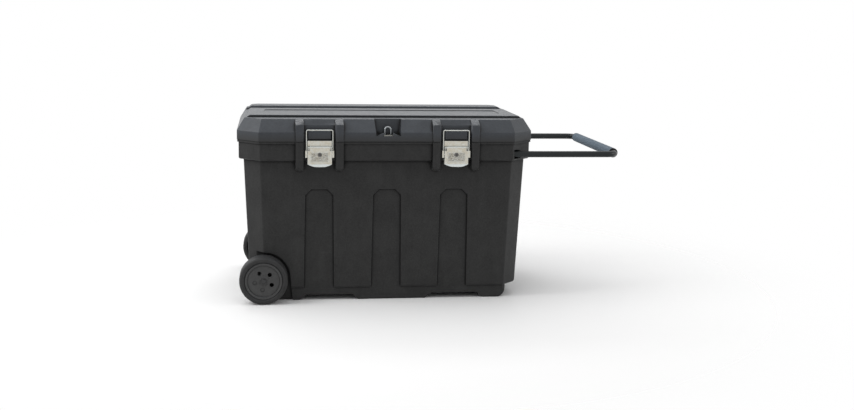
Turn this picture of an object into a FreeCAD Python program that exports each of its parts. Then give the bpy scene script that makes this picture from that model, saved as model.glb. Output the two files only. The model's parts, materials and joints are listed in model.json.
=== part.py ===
import FreeCAD, Part
import math
import os
import types

import Sketcher

# A wheeled jobsite storage box: a moulded tub and lid, two draw latches with key locks, a padlock
# staple, two wheels on an axle, a pull handle that slides in the rim, and a tool tray inside.
# Millimetres. X runs along the box towards the handle, Y from the latch side to the hinge side, Z up.
# The origin lies on the floor under the middle of the box.

SIZES = {
    # Fits shared by many pieces
    "running_gap": 0.05,
    "guide_gap": 0.1,
    "seat_gap": 0.3,
    "slide_gap": 0.6,
    "swing_gap": 1.0,
    # Tub: rim flange, rim band, drafted walls, plinth
    "parting_height": 516,
    "tub_wall": 4.5,
    "floor_thickness": 5,
    "flange_height": 7,
    "flange_proud": 4,
    "band_half_length": 465,
    "band_half_depth": 283,
    "band_corner": 66,
    "band_height": 61,
    "band_round": 6,
    "wall_step_end": 15,
    "wall_step_side": 19,
    "wall_corner": 52,
    "wall_draft": 17,
    "wall_round": 9,
    "wall_bottom": 40,
    "base_corner": 48,
    "plinth_step_end": 39,
    "plinth_step_side": 7,
    "plinth_corner": 8,
    "plinth_bottom": 16,
    # Runners under the plinth
    "runner_flare": 18,
    "left_runner_gap": 12,
    "left_runner_width": 85,
    "middle_runner_offset": 20,
    "middle_runner_width": 220,
    "right_runner_width": 59,
    # Arched channels in the front and back walls
    "arch_drop": 92,
    "arch_half_top": 44.5,
    "arch_half_bottom": 48.5,
    "arch_corner": 19,
    "arch_depth": 7,
    # Wheels, wells and axle
    "wheel_inset": 75,
    "wheel_radius": 76,
    "wheel_width": 60,
    "wheel_proud": 13.5,
    "tyre_round": 9,
    "well_gap": 8,
    "well_side_gap": 8.5,
    "well_foot": 8,
    "well_flare": 8,
    "hub_radius": 58,
    "hub_rim": 7,
    "hub_recess": 2.5,
    "hub_draft": 1,
    "web_recess": 6,
    "web_thickness": 6,
    "boss_radius": 14,
    "boss_proud": 2,
    "hole_circle": 28,
    "hole_radius": 6.8,
    "dimple_depth": 1.5,
    "axle_radius": 6,
    "axle_proud": 0.5,
    "bearing_web": 12,
    "pocket_left": 36,
    "pocket_right": 18,
    "axle_headroom": 18,
    "washer_radius": 13,
    "washer_space": 2.5,
    "cap_radius": 8.7,
    "cap_length": 6,
    "cap_round": 2.4,
    # Lid
    "lid_wall": 4.5,
    "lid_overhang": 5,
    "lid_corner": 68,
    "lid_round": 5,
    "lip_height": 29,
    "ledge_rise": 68.6,
    "ledge_corner": 53,
    "flank_run_end": 24,
    "flank_run_side": 34,
    "plateau_rise": 7.4,
    "plateau_margin_end": 15,
    "plateau_margin_front": 52,
    "plateau_margin_back": 27,
    "plateau_corner": 45,
    "plateau_flare": 11,
    "groove_middle": 98.5,
    "groove_width": 89,
    "groove_depth": 31,
    "groove_floor": 6,
    "groove_step": 13,
    "panel_margin_end": 46,
    "panel_margin_front": 82,
    "panel_margin_back": 62,
    "panel_depth": 2.2,
    "panel_round": 12,
    # Latch ribs, pockets and catches
    "latch_inset": 250.5,
    "rib_gap": 4.8,
    "rib_width": 24.9,
    "rib_proud": 11.5,
    "rib_drop": 91.5,
    "rib_rise": 53,
    "rib_foot": 8,
    "pocket_depth": 12,
    "catch_side_gap": 2.25,
    "catch_proud": 2,
    "catch_lift": 6.7,
    "catch_height": 26,
    # Latch base, lever, bail and lock
    "plate_thickness": 1.5,
    "latch_half_width": 37.5,
    "base_drop": 70,
    "base_rise": 3,
    "ear_inset": 5.2,
    "ear_radius": 4.2,
    "pivot_drop": 18,
    "pivot_stand": 6,
    "pivot_radius": 2,
    "barrel_radius": 5,
    "lever_stand": 1,
    "lever_length": 51,
    "lever_neck": 9,
    "flange_stand": 1.5,
    "lip_drop": 7,
    "lip_reach": 7,
    "frame_inset": 8.5,
    "frame_low_margin": 6,
    "frame_high_margin": 4,
    "frame_width": 3,
    "frame_proud": 0.8,
    "bail_radius": 1.75,
    "bail_bend": 4,
    "bail_side_gap": 1.75,
    "bail_catch_gap": 0.75,
    "bail_top_gap": 1.75,
    "bail_pivot_drop": 20,
    "bail_pivot_step": 1,
    "bail_pin_radius": 2.5,
    "lug_half_height": 11,
    "lug_half_depth": 2.9,
    "lug_thickness": 6,
    "lock_drop": 21,
    "lock_radius": 6.5,
    "lock_proud": 1.2,
    "lock_stand": 5.5,
    "cam_half_length": 9,
    "cam_half_width": 3,
    "cam_thickness": 1.5,
    "keyway_half_width": 0.7,
    "keyway_half_height": 3.5,
    "keyway_depth": 2,
    "rivet_inset": 15.5,
    "rivet_low_margin": 13.5,
    "rivet_high_margin": 9,
    "rivet_radius": 2,
    "rivet_head_radius": 4,
    "rivet_head": 1.7,
    # Padlock recess and staple
    "recess_half_top": 43.5,
    "recess_half_floor": 38,
    "recess_lift": 17.7,
    "recess_depth": 41,
    "hood_half_width": 35,
    "hood_height": 12,
    "hood_thickness": 6,
    "hood_notch": 14,
    "staple_inset": 21,
    "staple_half_width": 9.5,
    "staple_radius": 3,
    "staple_rise": 17,
    "staple_drop": 16,
    "collar_width": 2,
    "lug_plate_half": 24,
    "lug_plate_height": 12,
    "lug_plate_margin": 12,
    "slot_end_gap": 3.5,
    "slot_side_gap": 3.5,
    "padlock_plate_half_length": 28,
    "padlock_plate_half_width": 12,
    "padlock_rivet_x": 22,
    # Hinge
    "hinge_radius": 8,
    "hinge_clear": 1.5,
    "hinge_pitch": 290,
    "hinge_pin_radius": 3,
    "hinge_head_radius": 5,
    "hinge_head": 2,
    "lid_knuckle": 40,
    "tub_knuckle": 30,
    "knuckle_gap": 0.5,
    "gusset_drop": 34,
    # Pull handle, its guides and rails
    "tube_radius": 10,
    "tube_wall": 1.6,
    "arm_inset": 13.5,
    "arm_lift": 15.3,
    "handle_reach": 278.5,
    "bend_radius": 30,
    "grip_radius": 15.5,
    "grip_margin": 3,
    "slider_tail": 12,
    "slider_grip": 26,
    "exit_side_gap": 3,
    "exit_top_gap": 4,
    "sleeve_margin": 6,
    "sleeve_length": 140.5,
    "stop_gap": 1.5,
    "rail_margin": 7,
    "rail_thickness": 3,
    "rail_headroom": 15.2,
    "rail_side_room": 16,
    "rail_lip": 12,
    "screw_margin": 30,
    "screw_radius": 2,
    "screw_length": 3,
    "screw_head_radius": 4,
    "screw_head": 2.2,
    # Tool tray
    "tray_margin": 2,
    "tray_length": 310,
    "tray_depth": 58,
    "tray_wall": 3,
    "tray_side_gap": 1.8,
    "tray_flange_gap": 5,
    "tray_divider": 4,
}

doc = FreeCAD.newDocument("StorageBox")
sheet = doc.addObject("Spreadsheet::Sheet", "Sizes")
for row, (alias, number) in enumerate(SIZES.items(), start=1):
    sheet.set(f"A{row}", alias)
    sheet.set(f"B{row}", str(number))
    sheet.setAlias(f"B{row}", alias)
doc.recompute()


class Size:
    """A length worked out from the sheet: its value now, and the expression that keeps it bound."""

    def __init__(self, value, text):
        self.value = value
        self.text = text

    def __add__(self, other):
        other = as_size(other)
        return Size(self.value + other.value, f"{self.text} + {other.text}")

    def __sub__(self, other):
        other = as_size(other)
        return Size(self.value - other.value, f"{self.text} - ({other.text})")

    def __neg__(self):
        return Size(-self.value, f"-({self.text})")

    def __mul__(self, factor):
        return Size(self.value * factor, f"({self.text}) * {factor}")


def as_size(thing):
    """Plain numbers stand beside bound sizes as they are."""
    return thing if isinstance(thing, Size) else Size(float(thing), f"({thing})")


s = types.SimpleNamespace(**{alias: Size(sheet.get(alias), f"Sizes.{alias}") for alias in SIZES})

# What one size means for its neighbours
CORNER_SHRINK = 2 - math.sqrt(2)
DIAGONAL = math.sqrt(0.5)
OVERLAP = 2
CLEAR = 40
NEAR = 1
FRONT = -1
BACK = 1
SIDES = {"front": FRONT, "rear": BACK}
HOLE_COUNT = 5
FIRST_HOLE = 46.5
DIMPLES = (2, 3)
none = as_size(0)

# Tub
band_bottom = s.parting_height - s.band_height
flange_bottom = s.parting_height - s.flange_height
ledge_top = band_bottom + s.tub_wall
band_inside = s.band_half_depth - s.tub_wall
wall_half_length = s.band_half_length - s.wall_step_end
wall_half_depth = s.band_half_depth - s.wall_step_side
base_half_length = wall_half_length - s.wall_draft
base_half_depth = wall_half_depth - s.wall_draft
plinth_half_length = base_half_length - s.plinth_step_end
plinth_half_depth = base_half_depth - s.plinth_step_side
band_plan = (s.band_half_length, s.band_half_depth, s.band_corner)
wall_plan = (wall_half_length, wall_half_depth, s.wall_corner)
base_plan = (base_half_length, base_half_depth, s.base_corner)
plinth_plan = (plinth_half_length, plinth_half_depth, s.plinth_corner)
arch_top = band_bottom - s.arch_drop

# Wheels and axle
wheel_x = s.wheel_inset - s.band_half_length
wheel_height = s.wheel_radius
wheel_face = s.band_half_depth + s.wheel_proud
well_inner = wheel_face - s.wheel_width - s.well_side_gap
axle_end = wheel_face + s.axle_proud
boss_face = wheel_face - s.web_recess + s.boss_proud
axle_at = (wheel_x, wheel_height)

# Runners
left_runner_left = wheel_x + s.pocket_right + s.left_runner_gap
left_runner = (left_runner_left, left_runner_left + s.left_runner_width)
middle_runner_left = s.middle_runner_offset - s.middle_runner_width * 0.5
middle_runner = (middle_runner_left, middle_runner_left + s.middle_runner_width)
right_runner_right = plinth_half_length - s.runner_flare
right_runner = (right_runner_right - s.right_runner_width, right_runner_right)

# Lid
lid_bottom = s.parting_height + s.seat_gap
lip_top = lid_bottom + s.lip_height
lid_half_length = s.band_half_length + s.lid_overhang
lid_half_depth = s.band_half_depth + s.lid_overhang
ledge_height = s.parting_height + s.ledge_rise
ledge_half_length = lid_half_length - s.flank_run_end
ledge_half_depth = lid_half_depth - s.flank_run_side
lip_plan = (lid_half_length, lid_half_depth, s.lid_corner)
ledge_plan = (ledge_half_length, ledge_half_depth, s.ledge_corner)
plateau_height = ledge_height + s.plateau_rise
plateau_half_length = ledge_half_length - s.plateau_margin_end
plateau_front = s.plateau_margin_front - ledge_half_depth
plateau_back = ledge_half_depth - s.plateau_margin_back
groove_front = s.groove_middle - s.groove_width * 0.5
groove_back = s.groove_middle + s.groove_width * 0.5

# Latches, from the rim band outwards and from the pivot downwards
latch_x = s.band_half_length - s.latch_inset
base_front = s.band_half_depth + s.plate_thickness
base_low = s.parting_height - s.base_drop
base_high = s.parting_height + s.base_rise
pivot_front = base_front + s.pivot_stand
pivot_height = s.parting_height - s.pivot_drop
ear_inner = s.latch_half_width - s.ear_inset
ear_outer = ear_inner + s.plate_thickness
lever_front = pivot_front + s.barrel_radius + s.lever_stand
lever_plate_back = lever_front - s.plate_thickness
lever_back = base_front + s.flange_stand
lever_low = pivot_height - s.lever_length
lever_shoulder = pivot_height - s.lever_neck
catch_front = s.band_half_depth + s.catch_proud
catch_bottom = lid_bottom + s.catch_lift
catch_top = catch_bottom + s.catch_height
bail_front = catch_front + s.bail_catch_gap + s.bail_radius
bail_top = catch_top + s.bail_top_gap + s.bail_radius
bail_half_width = s.latch_half_width + s.bail_side_gap + s.bail_radius
catch_half_width = bail_half_width - s.bail_radius - s.catch_side_gap
bail_pivot_front = bail_front + s.bail_pivot_step
bail_pivot_height = pivot_height - s.bail_pivot_drop
lug_inner = s.latch_half_width + s.swing_gap
lug_outer = lug_inner + s.lug_thickness
lock_height = pivot_height - s.lock_drop
lock_back = base_front + s.lock_stand
rib_inner = lug_outer + s.rib_gap
rib_outer = rib_inner + s.rib_width
rib_front = s.band_half_depth + s.rib_proud
rib_bottom = s.parting_height - s.rib_drop
rib_shoulder = s.parting_height + s.rib_rise
pocket_back = s.band_half_depth - s.pocket_depth

# Padlock staple and hinge
recess_floor = lid_bottom + s.recess_lift
recess_back = s.band_half_depth - s.recess_depth
staple_front = s.band_half_depth - s.staple_inset
staple_top = recess_floor + s.staple_rise
staple_low = s.parting_height - s.staple_drop
slot_half_length = s.staple_half_width + s.staple_radius + s.slot_end_gap
slot_half_width = s.staple_radius + s.slot_side_gap
hinge_y = lid_half_depth + s.hinge_radius + s.hinge_clear
hinge_at = (hinge_y, s.parting_height)

# Pull handle, guides and tray
arm_y = band_inside - s.arm_inset
arm_height = ledge_top + s.arm_lift
sleeve_end = s.band_half_length - s.band_corner - s.sleeve_margin
sleeve_start = sleeve_end - s.sleeve_length
arm_inner = sleeve_start - s.stop_gap - s.slider_grip
grip_x = s.band_half_length + s.handle_reach
rail_left = s.band_corner + s.rail_margin - s.band_half_length
rail_right = sleeve_start - s.seat_gap
rail_top = arm_height + s.rail_headroom
rail_inner = arm_y - s.rail_side_room
rail_lip_face = band_inside - s.seat_gap - s.rail_thickness
screw_height = rail_top + s.rail_lip * 0.5
tray_left = rail_left + s.tray_margin
tray_right = tray_left + s.tray_length
tray_half = rail_inner - s.tray_side_gap
tray_flange_half = rail_lip_face - s.screw_head - s.tray_flange_gap


def bind(thing, **sizes):
    """Tie properties of a document object to the sheet."""
    for name, size in sizes.items():
        thing.setExpression(name, as_size(size).text)


def place(thing, x, y, z):
    """Tie where a document object stands to the sheet."""
    thing.setExpression("Placement.Base.x", as_size(x).text)
    thing.setExpression("Placement.Base.y", as_size(y).text)
    thing.setExpression("Placement.Base.z", as_size(z).text)


def arc_radius(half, rise):
    """The radius of a circle through two feet and the crown between them: (half^2 + rise^2) / (2 rise)."""
    return Size(
        (half.value ** 2 + rise.value ** 2) / (2 * rise.value),
        f"(({half.text}) * ({half.text}) + ({rise.text}) * ({rise.text})) / (2 * ({rise.text}))",
    )


def both(size):
    """The span from -size to +size."""
    return (-size, size)


def mirrored_spans(centre, near, far):
    """The two spans at near to far either side of a middle."""
    return [(centre - far, centre - near), (centre + near, centre + far)]


def across(side, near, far):
    """The span between two distances from the middle plane, on the front or the back."""
    return (near, far) if side == BACK else (-far, -near)


def box(name, x, y, z):
    """A block over three spans."""
    block = doc.addObject("Part::Box", name)
    bind(block, Length=x[1] - x[0], Width=y[1] - y[0], Height=z[1] - z[0])
    place(block, x[0], y[0], z[0])
    return block


def rod(name, axis, radius, span, at):
    """A cylinder along one axis over a span, at the two other coordinates in X, Y, Z order."""
    cylinder = doc.addObject("Part::Cylinder", name)
    bind(cylinder, Radius=radius, Height=span[1] - span[0])
    if axis == "X":
        cylinder.Placement.Rotation = FreeCAD.Rotation(FreeCAD.Vector(0, 1, 0), 90)
        place(cylinder, span[0], at[0], at[1])
    elif axis == "Y":
        cylinder.Placement.Rotation = FreeCAD.Rotation(FreeCAD.Vector(1, 0, 0), -90)
        place(cylinder, at[0], span[0], at[1])
    else:
        place(cylinder, at[0], at[1], span[0])
    return cylinder


def quarter_bend(name, bend, radius, at, turns):
    """A quarter of a torus about at, laid by turns: (axis, degrees) pairs, first one first."""
    torus = doc.addObject("Part::Torus", name)
    bind(torus, Radius1=bend, Radius2=radius)
    torus.Angle3 = 90
    rotation = FreeCAD.Rotation()
    for axis, degrees in turns:
        rotation = FreeCAD.Rotation(FreeCAD.Vector(*axis), degrees) * rotation
    torus.Placement.Rotation = rotation
    place(torus, *at)
    return torus


def outline(body, name, plane, offset, corners):
    """A closed sketch through corners, each tied to the sheet, on a plane moved along its normal."""
    sketch = body.newObject("Sketcher::SketchObject", name)
    support = [feature for feature in body.Origin.OriginFeatures if feature.Role == plane][0]
    sketch.AttachmentSupport = [(support, "")]
    sketch.MapMode = "FlatFace"
    sketch.setExpression("AttachmentOffset.Base.z", as_size(offset).text)
    corners = [(as_size(across_), as_size(up)) for across_, up in corners]
    points = [FreeCAD.Vector(across_.value, up.value, 0) for across_, up in corners]
    count = len(points)
    for i in range(count):
        sketch.addGeometry(Part.LineSegment(points[i], points[(i + 1) % count]), False)
    for i in range(count):
        sketch.addConstraint(Sketcher.Constraint("Coincident", i, 2, (i + 1) % count, 1))
    for i, (across_, up) in enumerate(corners):
        level = sketch.addConstraint(Sketcher.Constraint("DistanceX", -1, 1, i, 1, across_.value))
        sketch.setExpression(f"Constraints[{level}]", across_.text)
        level = sketch.addConstraint(Sketcher.Constraint("DistanceY", -1, 1, i, 1, up.value))
        sketch.setExpression(f"Constraints[{level}]", up.text)
    return sketch


def prism(name, plane, corners, span):
    """An outline on XY, XZ or YZ, padded over a span of the third axis."""
    body = doc.addObject("PartDesign::Body", name)
    if plane == "XZ":
        # This plane's normal points to -Y, so the pad runs from the far end of the span to the near one.
        sketch = outline(body, name + "Outline", "XZ_Plane", -span[1], corners)
    else:
        sketch = outline(body, name + "Outline", plane + "_Plane", span[0], corners)
    pad = body.newObject("PartDesign::Pad", name + "Pad")
    pad.Profile = sketch
    bind(pad, Length=span[1] - span[0])
    return body


def drafted(name, low_plan, low, high_plan, high):
    """Flat-sided block between two octagons, each given by half length, half depth and corner cut."""
    (low_length, low_depth, low_corner), (high_length, high_depth, high_corner) = low_plan, high_plan
    low_diagonal = (low_length + low_depth - low_corner) * DIAGONAL
    high_diagonal = (high_length + high_depth - high_corner) * DIAGONAL
    reach = low_length + high_length
    ends = trapezium(name + "Ends", "XZ", low_length, low, high_length, high, reach)
    flanks = trapezium(name + "Flanks", "YZ", low_depth, low, high_depth, high, reach)
    corners = []
    for i, degrees in enumerate((45, -45)):
        block = trapezium(f"{name}Corner{i}", "YZ", low_diagonal, low, high_diagonal, high, reach)
        block.Placement.Rotation = FreeCAD.Rotation(FreeCAD.Vector(0, 0, 1), degrees)
        corners.append(block)
    return shared(name, ends, flanks, *corners)


def trapezium(name, plane, low_half, low, high_half, high, reach):
    """A long block whose two sides lean, over a span of -reach to +reach."""
    corners = [(-low_half, low), (low_half, low), (high_half, high), (-high_half, high)]
    return prism(name, plane, corners, both(reach))


def turned(name, corners):
    """A profile of (Y, radius) corners turned round the Y axis."""
    body = doc.addObject("PartDesign::Body", name)
    sketch = outline(body, name + "Profile", "YZ_Plane", 0, corners)
    revolution = body.newObject("PartDesign::Revolution", name + "Turn")
    revolution.Profile = sketch
    revolution.ReferenceAxis = (sketch, ["H_Axis"])
    revolution.Angle = 360
    return body


def octagon(plan):
    """A rectangle about the middle with its four corners cut at 45 degrees."""
    half_length, half_depth, corner = plan
    return [
        (-half_length + corner, -half_depth),
        (half_length - corner, -half_depth),
        (half_length, -half_depth + corner),
        (half_length, half_depth - corner),
        (half_length - corner, half_depth),
        (-half_length + corner, half_depth),
        (-half_length, half_depth - corner),
        (-half_length, -half_depth + corner),
    ]


def inset(plan, wall):
    """The plan of an octagon one wall inside another."""
    half_length, half_depth, corner = plan
    return (half_length - wall, half_depth - wall, corner - wall * CORNER_SHRINK)


def fuse(name, *things):
    """Join pieces into one solid."""
    joined = doc.addObject("Part::MultiFuse", name)
    joined.Shapes = list(things)
    joined.Refine = True
    return joined


def cut(name, base, *tools):
    """Take tools away from base."""
    result = doc.addObject("Part::Cut", name)
    result.Base = base
    result.Tool = tools[0] if len(tools) == 1 else fuse(name + "Tools", *tools)
    result.Refine = True
    return result


def shared(name, *things):
    """What all the pieces have in common."""
    result = doc.addObject("Part::MultiCommon", name)
    result.Shapes = list(things)
    result.Refine = True
    return result


def group(name, *things):
    """Separate solids kept together, such as a set of rivets."""
    compound = doc.addObject("Part::Compound", name)
    compound.Links = list(things)
    return compound


def rounded(name, base, radius, choose):
    """Round the edges that choose picks."""
    doc.recompute()
    fillet = doc.addObject("Part::Fillet", name)
    fillet.Base = base
    picked = [i for i, edge in enumerate(base.Shape.Edges, start=1) if choose(edge)]
    fillet.Edges = [(i, radius.value, radius.value) for i in picked]
    return fillet


def leaning(edge):
    """An edge that climbs."""
    return edge.BoundBox.ZLength > NEAR


def not_on_top(solid_top):
    """Every edge but those at a solid's top."""
    return lambda edge: edge.BoundBox.ZMin < solid_top.value - NEAR


def not_at_bottom(solid_bottom):
    """Every edge but those at a solid's bottom."""
    return lambda edge: edge.BoundBox.ZMax > solid_bottom.value + NEAR


# Tub

def arches(name, grow):
    """Three channels in the front and back walls, sunk by their depth, and grown by a wall for the inside."""
    slot = [
        prism(
            f"{name}Arch{i}",
            "XZ",
            [
                (centre - s.arch_half_bottom - grow, s.wall_bottom - OVERLAP),
                (centre + s.arch_half_bottom + grow, s.wall_bottom - OVERLAP),
                (centre + s.arch_half_top + grow, arch_top - s.arch_corner + grow),
                (centre + s.arch_half_top - s.arch_corner + grow, arch_top + grow),
                (centre - s.arch_half_top + s.arch_corner - grow, arch_top + grow),
                (centre - s.arch_half_top - grow, arch_top - s.arch_corner + grow),
            ],
            both(wall_half_depth + CLEAR),
        )
        for i, centre in enumerate((-latch_x, none, latch_x))
    ]
    low_depth = base_half_depth - s.arch_depth - grow
    high_depth = wall_half_depth - s.arch_depth - grow
    heart = trapezium(
        f"{name}Heart",
        "YZ",
        low_depth,
        s.wall_bottom - OVERLAP,
        high_depth,
        band_bottom,
        wall_half_length,
    )
    return cut(name, fuse(f"{name}Slots", *slot), heart)


def wheel_well(name, side, grow):
    """The space round one wheel: an arch that flares out to the end and runs down to the runner."""
    reach = s.wheel_radius + s.well_gap + grow
    end = -s.band_half_length - CLEAR
    span = across(side, well_inner - grow, s.band_half_depth + CLEAR)
    straight = prism(
        name + "Straight",
        "XZ",
        [
            (wheel_x + reach + s.well_foot, as_size(-OVERLAP)),
            (wheel_x + reach, wheel_height),
            (wheel_x, wheel_height + reach),
            (end, wheel_height + reach + s.well_flare),
            (end, as_size(-OVERLAP)),
        ],
        span,
    )
    return fuse(name, straight, rod(name + "Round", "Y", reach, span, axle_at))


def runner(name, span, left_flare):
    """One runner across the underside, sloped on its right flank and, if it flares there, its left."""
    left, right = span
    return prism(
        name,
        "XZ",
        [
            (left, none),
            (right, none),
            (right + s.runner_flare, s.plinth_bottom),
            (right + s.runner_flare, s.plinth_bottom + OVERLAP),
            (left - left_flare, s.plinth_bottom + OVERLAP),
            (left - left_flare, s.plinth_bottom),
        ],
        both(plinth_half_depth),
    )


def trough(name, span):
    """The floor's dip into a runner."""
    return box(
        name,
        (span[0] + s.tub_wall, span[1] - s.tub_wall),
        both(plinth_half_depth - s.tub_wall),
        (s.floor_thickness, s.plinth_bottom + s.floor_thickness + OVERLAP),
    )


def latch_centres():
    """Where the two latches stand along the front."""
    return {"left": -latch_x, "right": latch_x}


def tub_outside():
    """The tub's outer form before it is hollowed."""
    wall = drafted("Wall", base_plan, s.wall_bottom, wall_plan, band_bottom + OVERLAP)
    band = prism("Band", "XY", octagon(band_plan), (band_bottom, flange_bottom + OVERLAP))
    flange_plan = inset(band_plan, -s.flange_proud)
    flange = prism("Flange", "XY", octagon(flange_plan), (flange_bottom, s.parting_height))
    plinth_top = s.wall_bottom + s.wall_round + OVERLAP
    plinth = prism("Plinth", "XY", octagon(plinth_plan), (s.plinth_bottom, plinth_top))
    runner_plan = prism("RunnerPlan", "XY", octagon(plinth_plan), (as_size(-OVERLAP), s.plinth_bottom + OVERLAP))
    runners = [
        runner("LeftRunner", left_runner, none),
        runner("MiddleRunner", middle_runner, s.runner_flare),
        shared("RightRunnerCornered", runner("RightRunner", right_runner, s.runner_flare), runner_plan),
    ]
    ribs = [
        prism(
            f"TubRib{side.title()}{i}",
            "YZ",
            [
                (-rib_front, s.parting_height),
                (-rib_front, rib_bottom + s.rib_foot),
                (-rib_front + s.rib_foot, rib_bottom),
                (-wall_half_depth + s.tub_wall, rib_bottom),
                (-wall_half_depth + s.tub_wall, s.parting_height),
            ],
            span,
        )
        for side, centre in latch_centres().items()
        for i, span in enumerate(mirrored_spans(centre, rib_inner, rib_outer))
    ]
    return fuse(
        "TubOutside",
        rounded("WallRounded", wall, s.wall_round, not_on_top(band_bottom + OVERLAP)),
        rounded("BandRounded", band, s.band_round, not_on_top(flange_bottom + OVERLAP)),
        rounded("FlangeRounded", flange, s.band_round, leaning),
        plinth,
        *runners,
        *ribs,
    )


def tub_inside():
    """The hollow of the tub: wide in the rim band, drafted below, and kept off wells, axle and channels."""
    rim_plan = inset(band_plan, s.tub_wall)
    rim = prism("RimHollow", "XY", octagon(rim_plan), (ledge_top, s.parting_height + OVERLAP))
    floor = s.wall_bottom + s.floor_thickness
    well = drafted(
        "WallHollow",
        inset(base_plan, s.tub_wall),
        floor,
        inset(wall_plan, s.tub_wall),
        ledge_top + OVERLAP,
    )
    plinth = prism(
        "PlinthHollow",
        "XY",
        octagon(inset(plinth_plan, s.tub_wall)),
        (s.plinth_bottom + s.floor_thickness, floor + OVERLAP),
    )
    hump = box(
        "AxleHump",
        (-s.band_half_length, wheel_x + s.pocket_right + s.tub_wall),
        both(s.band_half_depth),
        (none, wheel_height + s.axle_headroom + s.tub_wall),
    )
    return cut(
        "TubInside",
        fuse(
            "TubHollows",
            rim,
            well,
            plinth,
            trough("LeftTrough", left_runner),
            trough("MiddleTrough", middle_runner),
            trough("RightTrough", right_runner),
        ),
        hump,
        wheel_well("FrontWellKeep", FRONT, s.tub_wall),
        wheel_well("RearWellKeep", BACK, s.tub_wall),
        arches("ArchKeep", s.tub_wall),
    )


def hinge_centres():
    """Where the three hinges stand along the back."""
    return [-s.hinge_pitch, none, s.hinge_pitch]


def tub_knuckle_spans(centre):
    """The two tub knuckles of one hinge, either side of the lid's."""
    near = s.lid_knuckle * 0.5 + s.knuckle_gap
    return mirrored_spans(centre, near, near + s.tub_knuckle)


def tub_knuckle(name, span):
    """A knuckle on a gusset that comes out of the rim band."""
    root = s.band_half_depth - OVERLAP
    gusset = prism(
        name + "Gusset",
        "YZ",
        [
            (root, s.parting_height - s.gusset_drop),
            (hinge_y + s.hinge_radius, s.parting_height - s.hinge_radius),
            (hinge_y + s.hinge_radius, s.parting_height),
            (root, s.parting_height),
        ],
        span,
    )
    return fuse(name, gusset, rod(name + "Eye", "X", s.hinge_radius, span, hinge_at))


def staple_holes(name, radius, span):
    """Two upright rods at the staple's legs."""
    return [
        rod(f"{name}{i}", "Z", radius, span, (x, -staple_front))
        for i, x in enumerate(both(s.staple_half_width))
    ]


def screw_places():
    """Where the rails and sleeves are screwed to the rim band, as (side, x)."""
    along_rail = (rail_left + s.screw_margin, (rail_left + rail_right) * 0.5, rail_right - s.screw_margin)
    along_sleeve = (sleeve_start + s.screw_margin, sleeve_end - s.screw_margin)
    return [(side, x) for side in SIDES.values() for x in along_rail + along_sleeve]


def rivet_places(centre):
    """The four rivets of one latch base, as (x, height)."""
    return [
        (centre + dx, z)
        for dx in both(s.latch_half_width - s.rivet_inset)
        for z in (base_low + s.rivet_low_margin, base_high - s.rivet_high_margin)
    ]


def all_rivet_places():
    """The rivets of both latch bases."""
    return [place for centre in latch_centres().values() for place in rivet_places(centre)]


def build_tub():
    shell = cut("TubShell", tub_outside(), tub_inside())
    axle_pocket = box(
        "AxlePocket",
        (wheel_x - s.pocket_left, wheel_x + s.pocket_right),
        both(well_inner - s.bearing_web),
        (as_size(-OVERLAP), wheel_height + s.axle_headroom),
    )
    axle_bore = rod("AxleBore", "Y", s.axle_radius + s.running_gap, both(s.band_half_depth), axle_at)
    exit_half_width = s.tube_radius + s.exit_side_gap
    exit_half_height = s.tube_radius + s.exit_top_gap
    exits = [
        box(
            f"{name.title()}ArmExit",
            (s.band_half_length - s.band_corner - CLEAR, s.band_half_length + CLEAR),
            across(side, arm_y - exit_half_width, arm_y + exit_half_width),
            (arm_height - exit_half_height, arm_height + exit_half_height),
        )
        for name, side in SIDES.items()
    ]
    latch_flats = [
        box(
            f"{side.title()}LatchFlat",
            (centre - rib_inner, centre + rib_inner),
            (-rib_front - CLEAR, -s.band_half_depth),
            (flange_bottom - s.band_round, s.parting_height + OVERLAP),
        )
        for side, centre in latch_centres().items()
    ]
    opened = cut(
        "TubOpened",
        shell,
        axle_pocket,
        axle_bore,
        wheel_well("FrontWell", FRONT, none),
        wheel_well("RearWell", BACK, none),
        arches("ArchCut", none),
        *exits,
        *latch_flats,
    )
    staple_lug = box(
        "StapleLug",
        both(s.lug_plate_half),
        (-band_inside - OVERLAP, s.lug_plate_margin - staple_front),
        (s.parting_height - s.lug_plate_height, s.parting_height),
    )
    knuckles = [
        tub_knuckle(f"TubKnuckle{i}{j}", span)
        for i, centre in enumerate(hinge_centres())
        for j, span in enumerate(tub_knuckle_spans(centre))
    ]
    pin_bores = [
        rod(
            f"TubPinBore{i}",
            "X",
            s.hinge_pin_radius + s.running_gap,
            (centre - s.hinge_pitch * 0.5, centre + s.hinge_pitch * 0.5),
            hinge_at,
        )
        for i, centre in enumerate(hinge_centres())
    ]
    rivet_holes = [
        rod(
            f"RivetHole{i}",
            "Y",
            s.rivet_radius + s.running_gap,
            across(FRONT, band_inside - OVERLAP, s.band_half_depth + OVERLAP),
            (x, z),
        )
        for i, (x, z) in enumerate(all_rivet_places())
    ]
    screw_holes = [
        rod(
            f"ScrewHole{i}",
            "Y",
            s.screw_radius + s.running_gap,
            across(side, band_inside - OVERLAP, band_inside + s.screw_length + s.seat_gap),
            (x, screw_height),
        )
        for i, (side, x) in enumerate(screw_places())
    ]
    leg_span = (staple_low - OVERLAP, s.parting_height + OVERLAP)
    return cut(
        "Tub",
        fuse("TubWithKnuckles", opened, staple_lug, *knuckles),
        *pin_bores,
        *rivet_holes,
        *screw_holes,
        *staple_holes("StapleHole", s.staple_radius + s.running_gap, leg_span),
    )


# Lid

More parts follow.
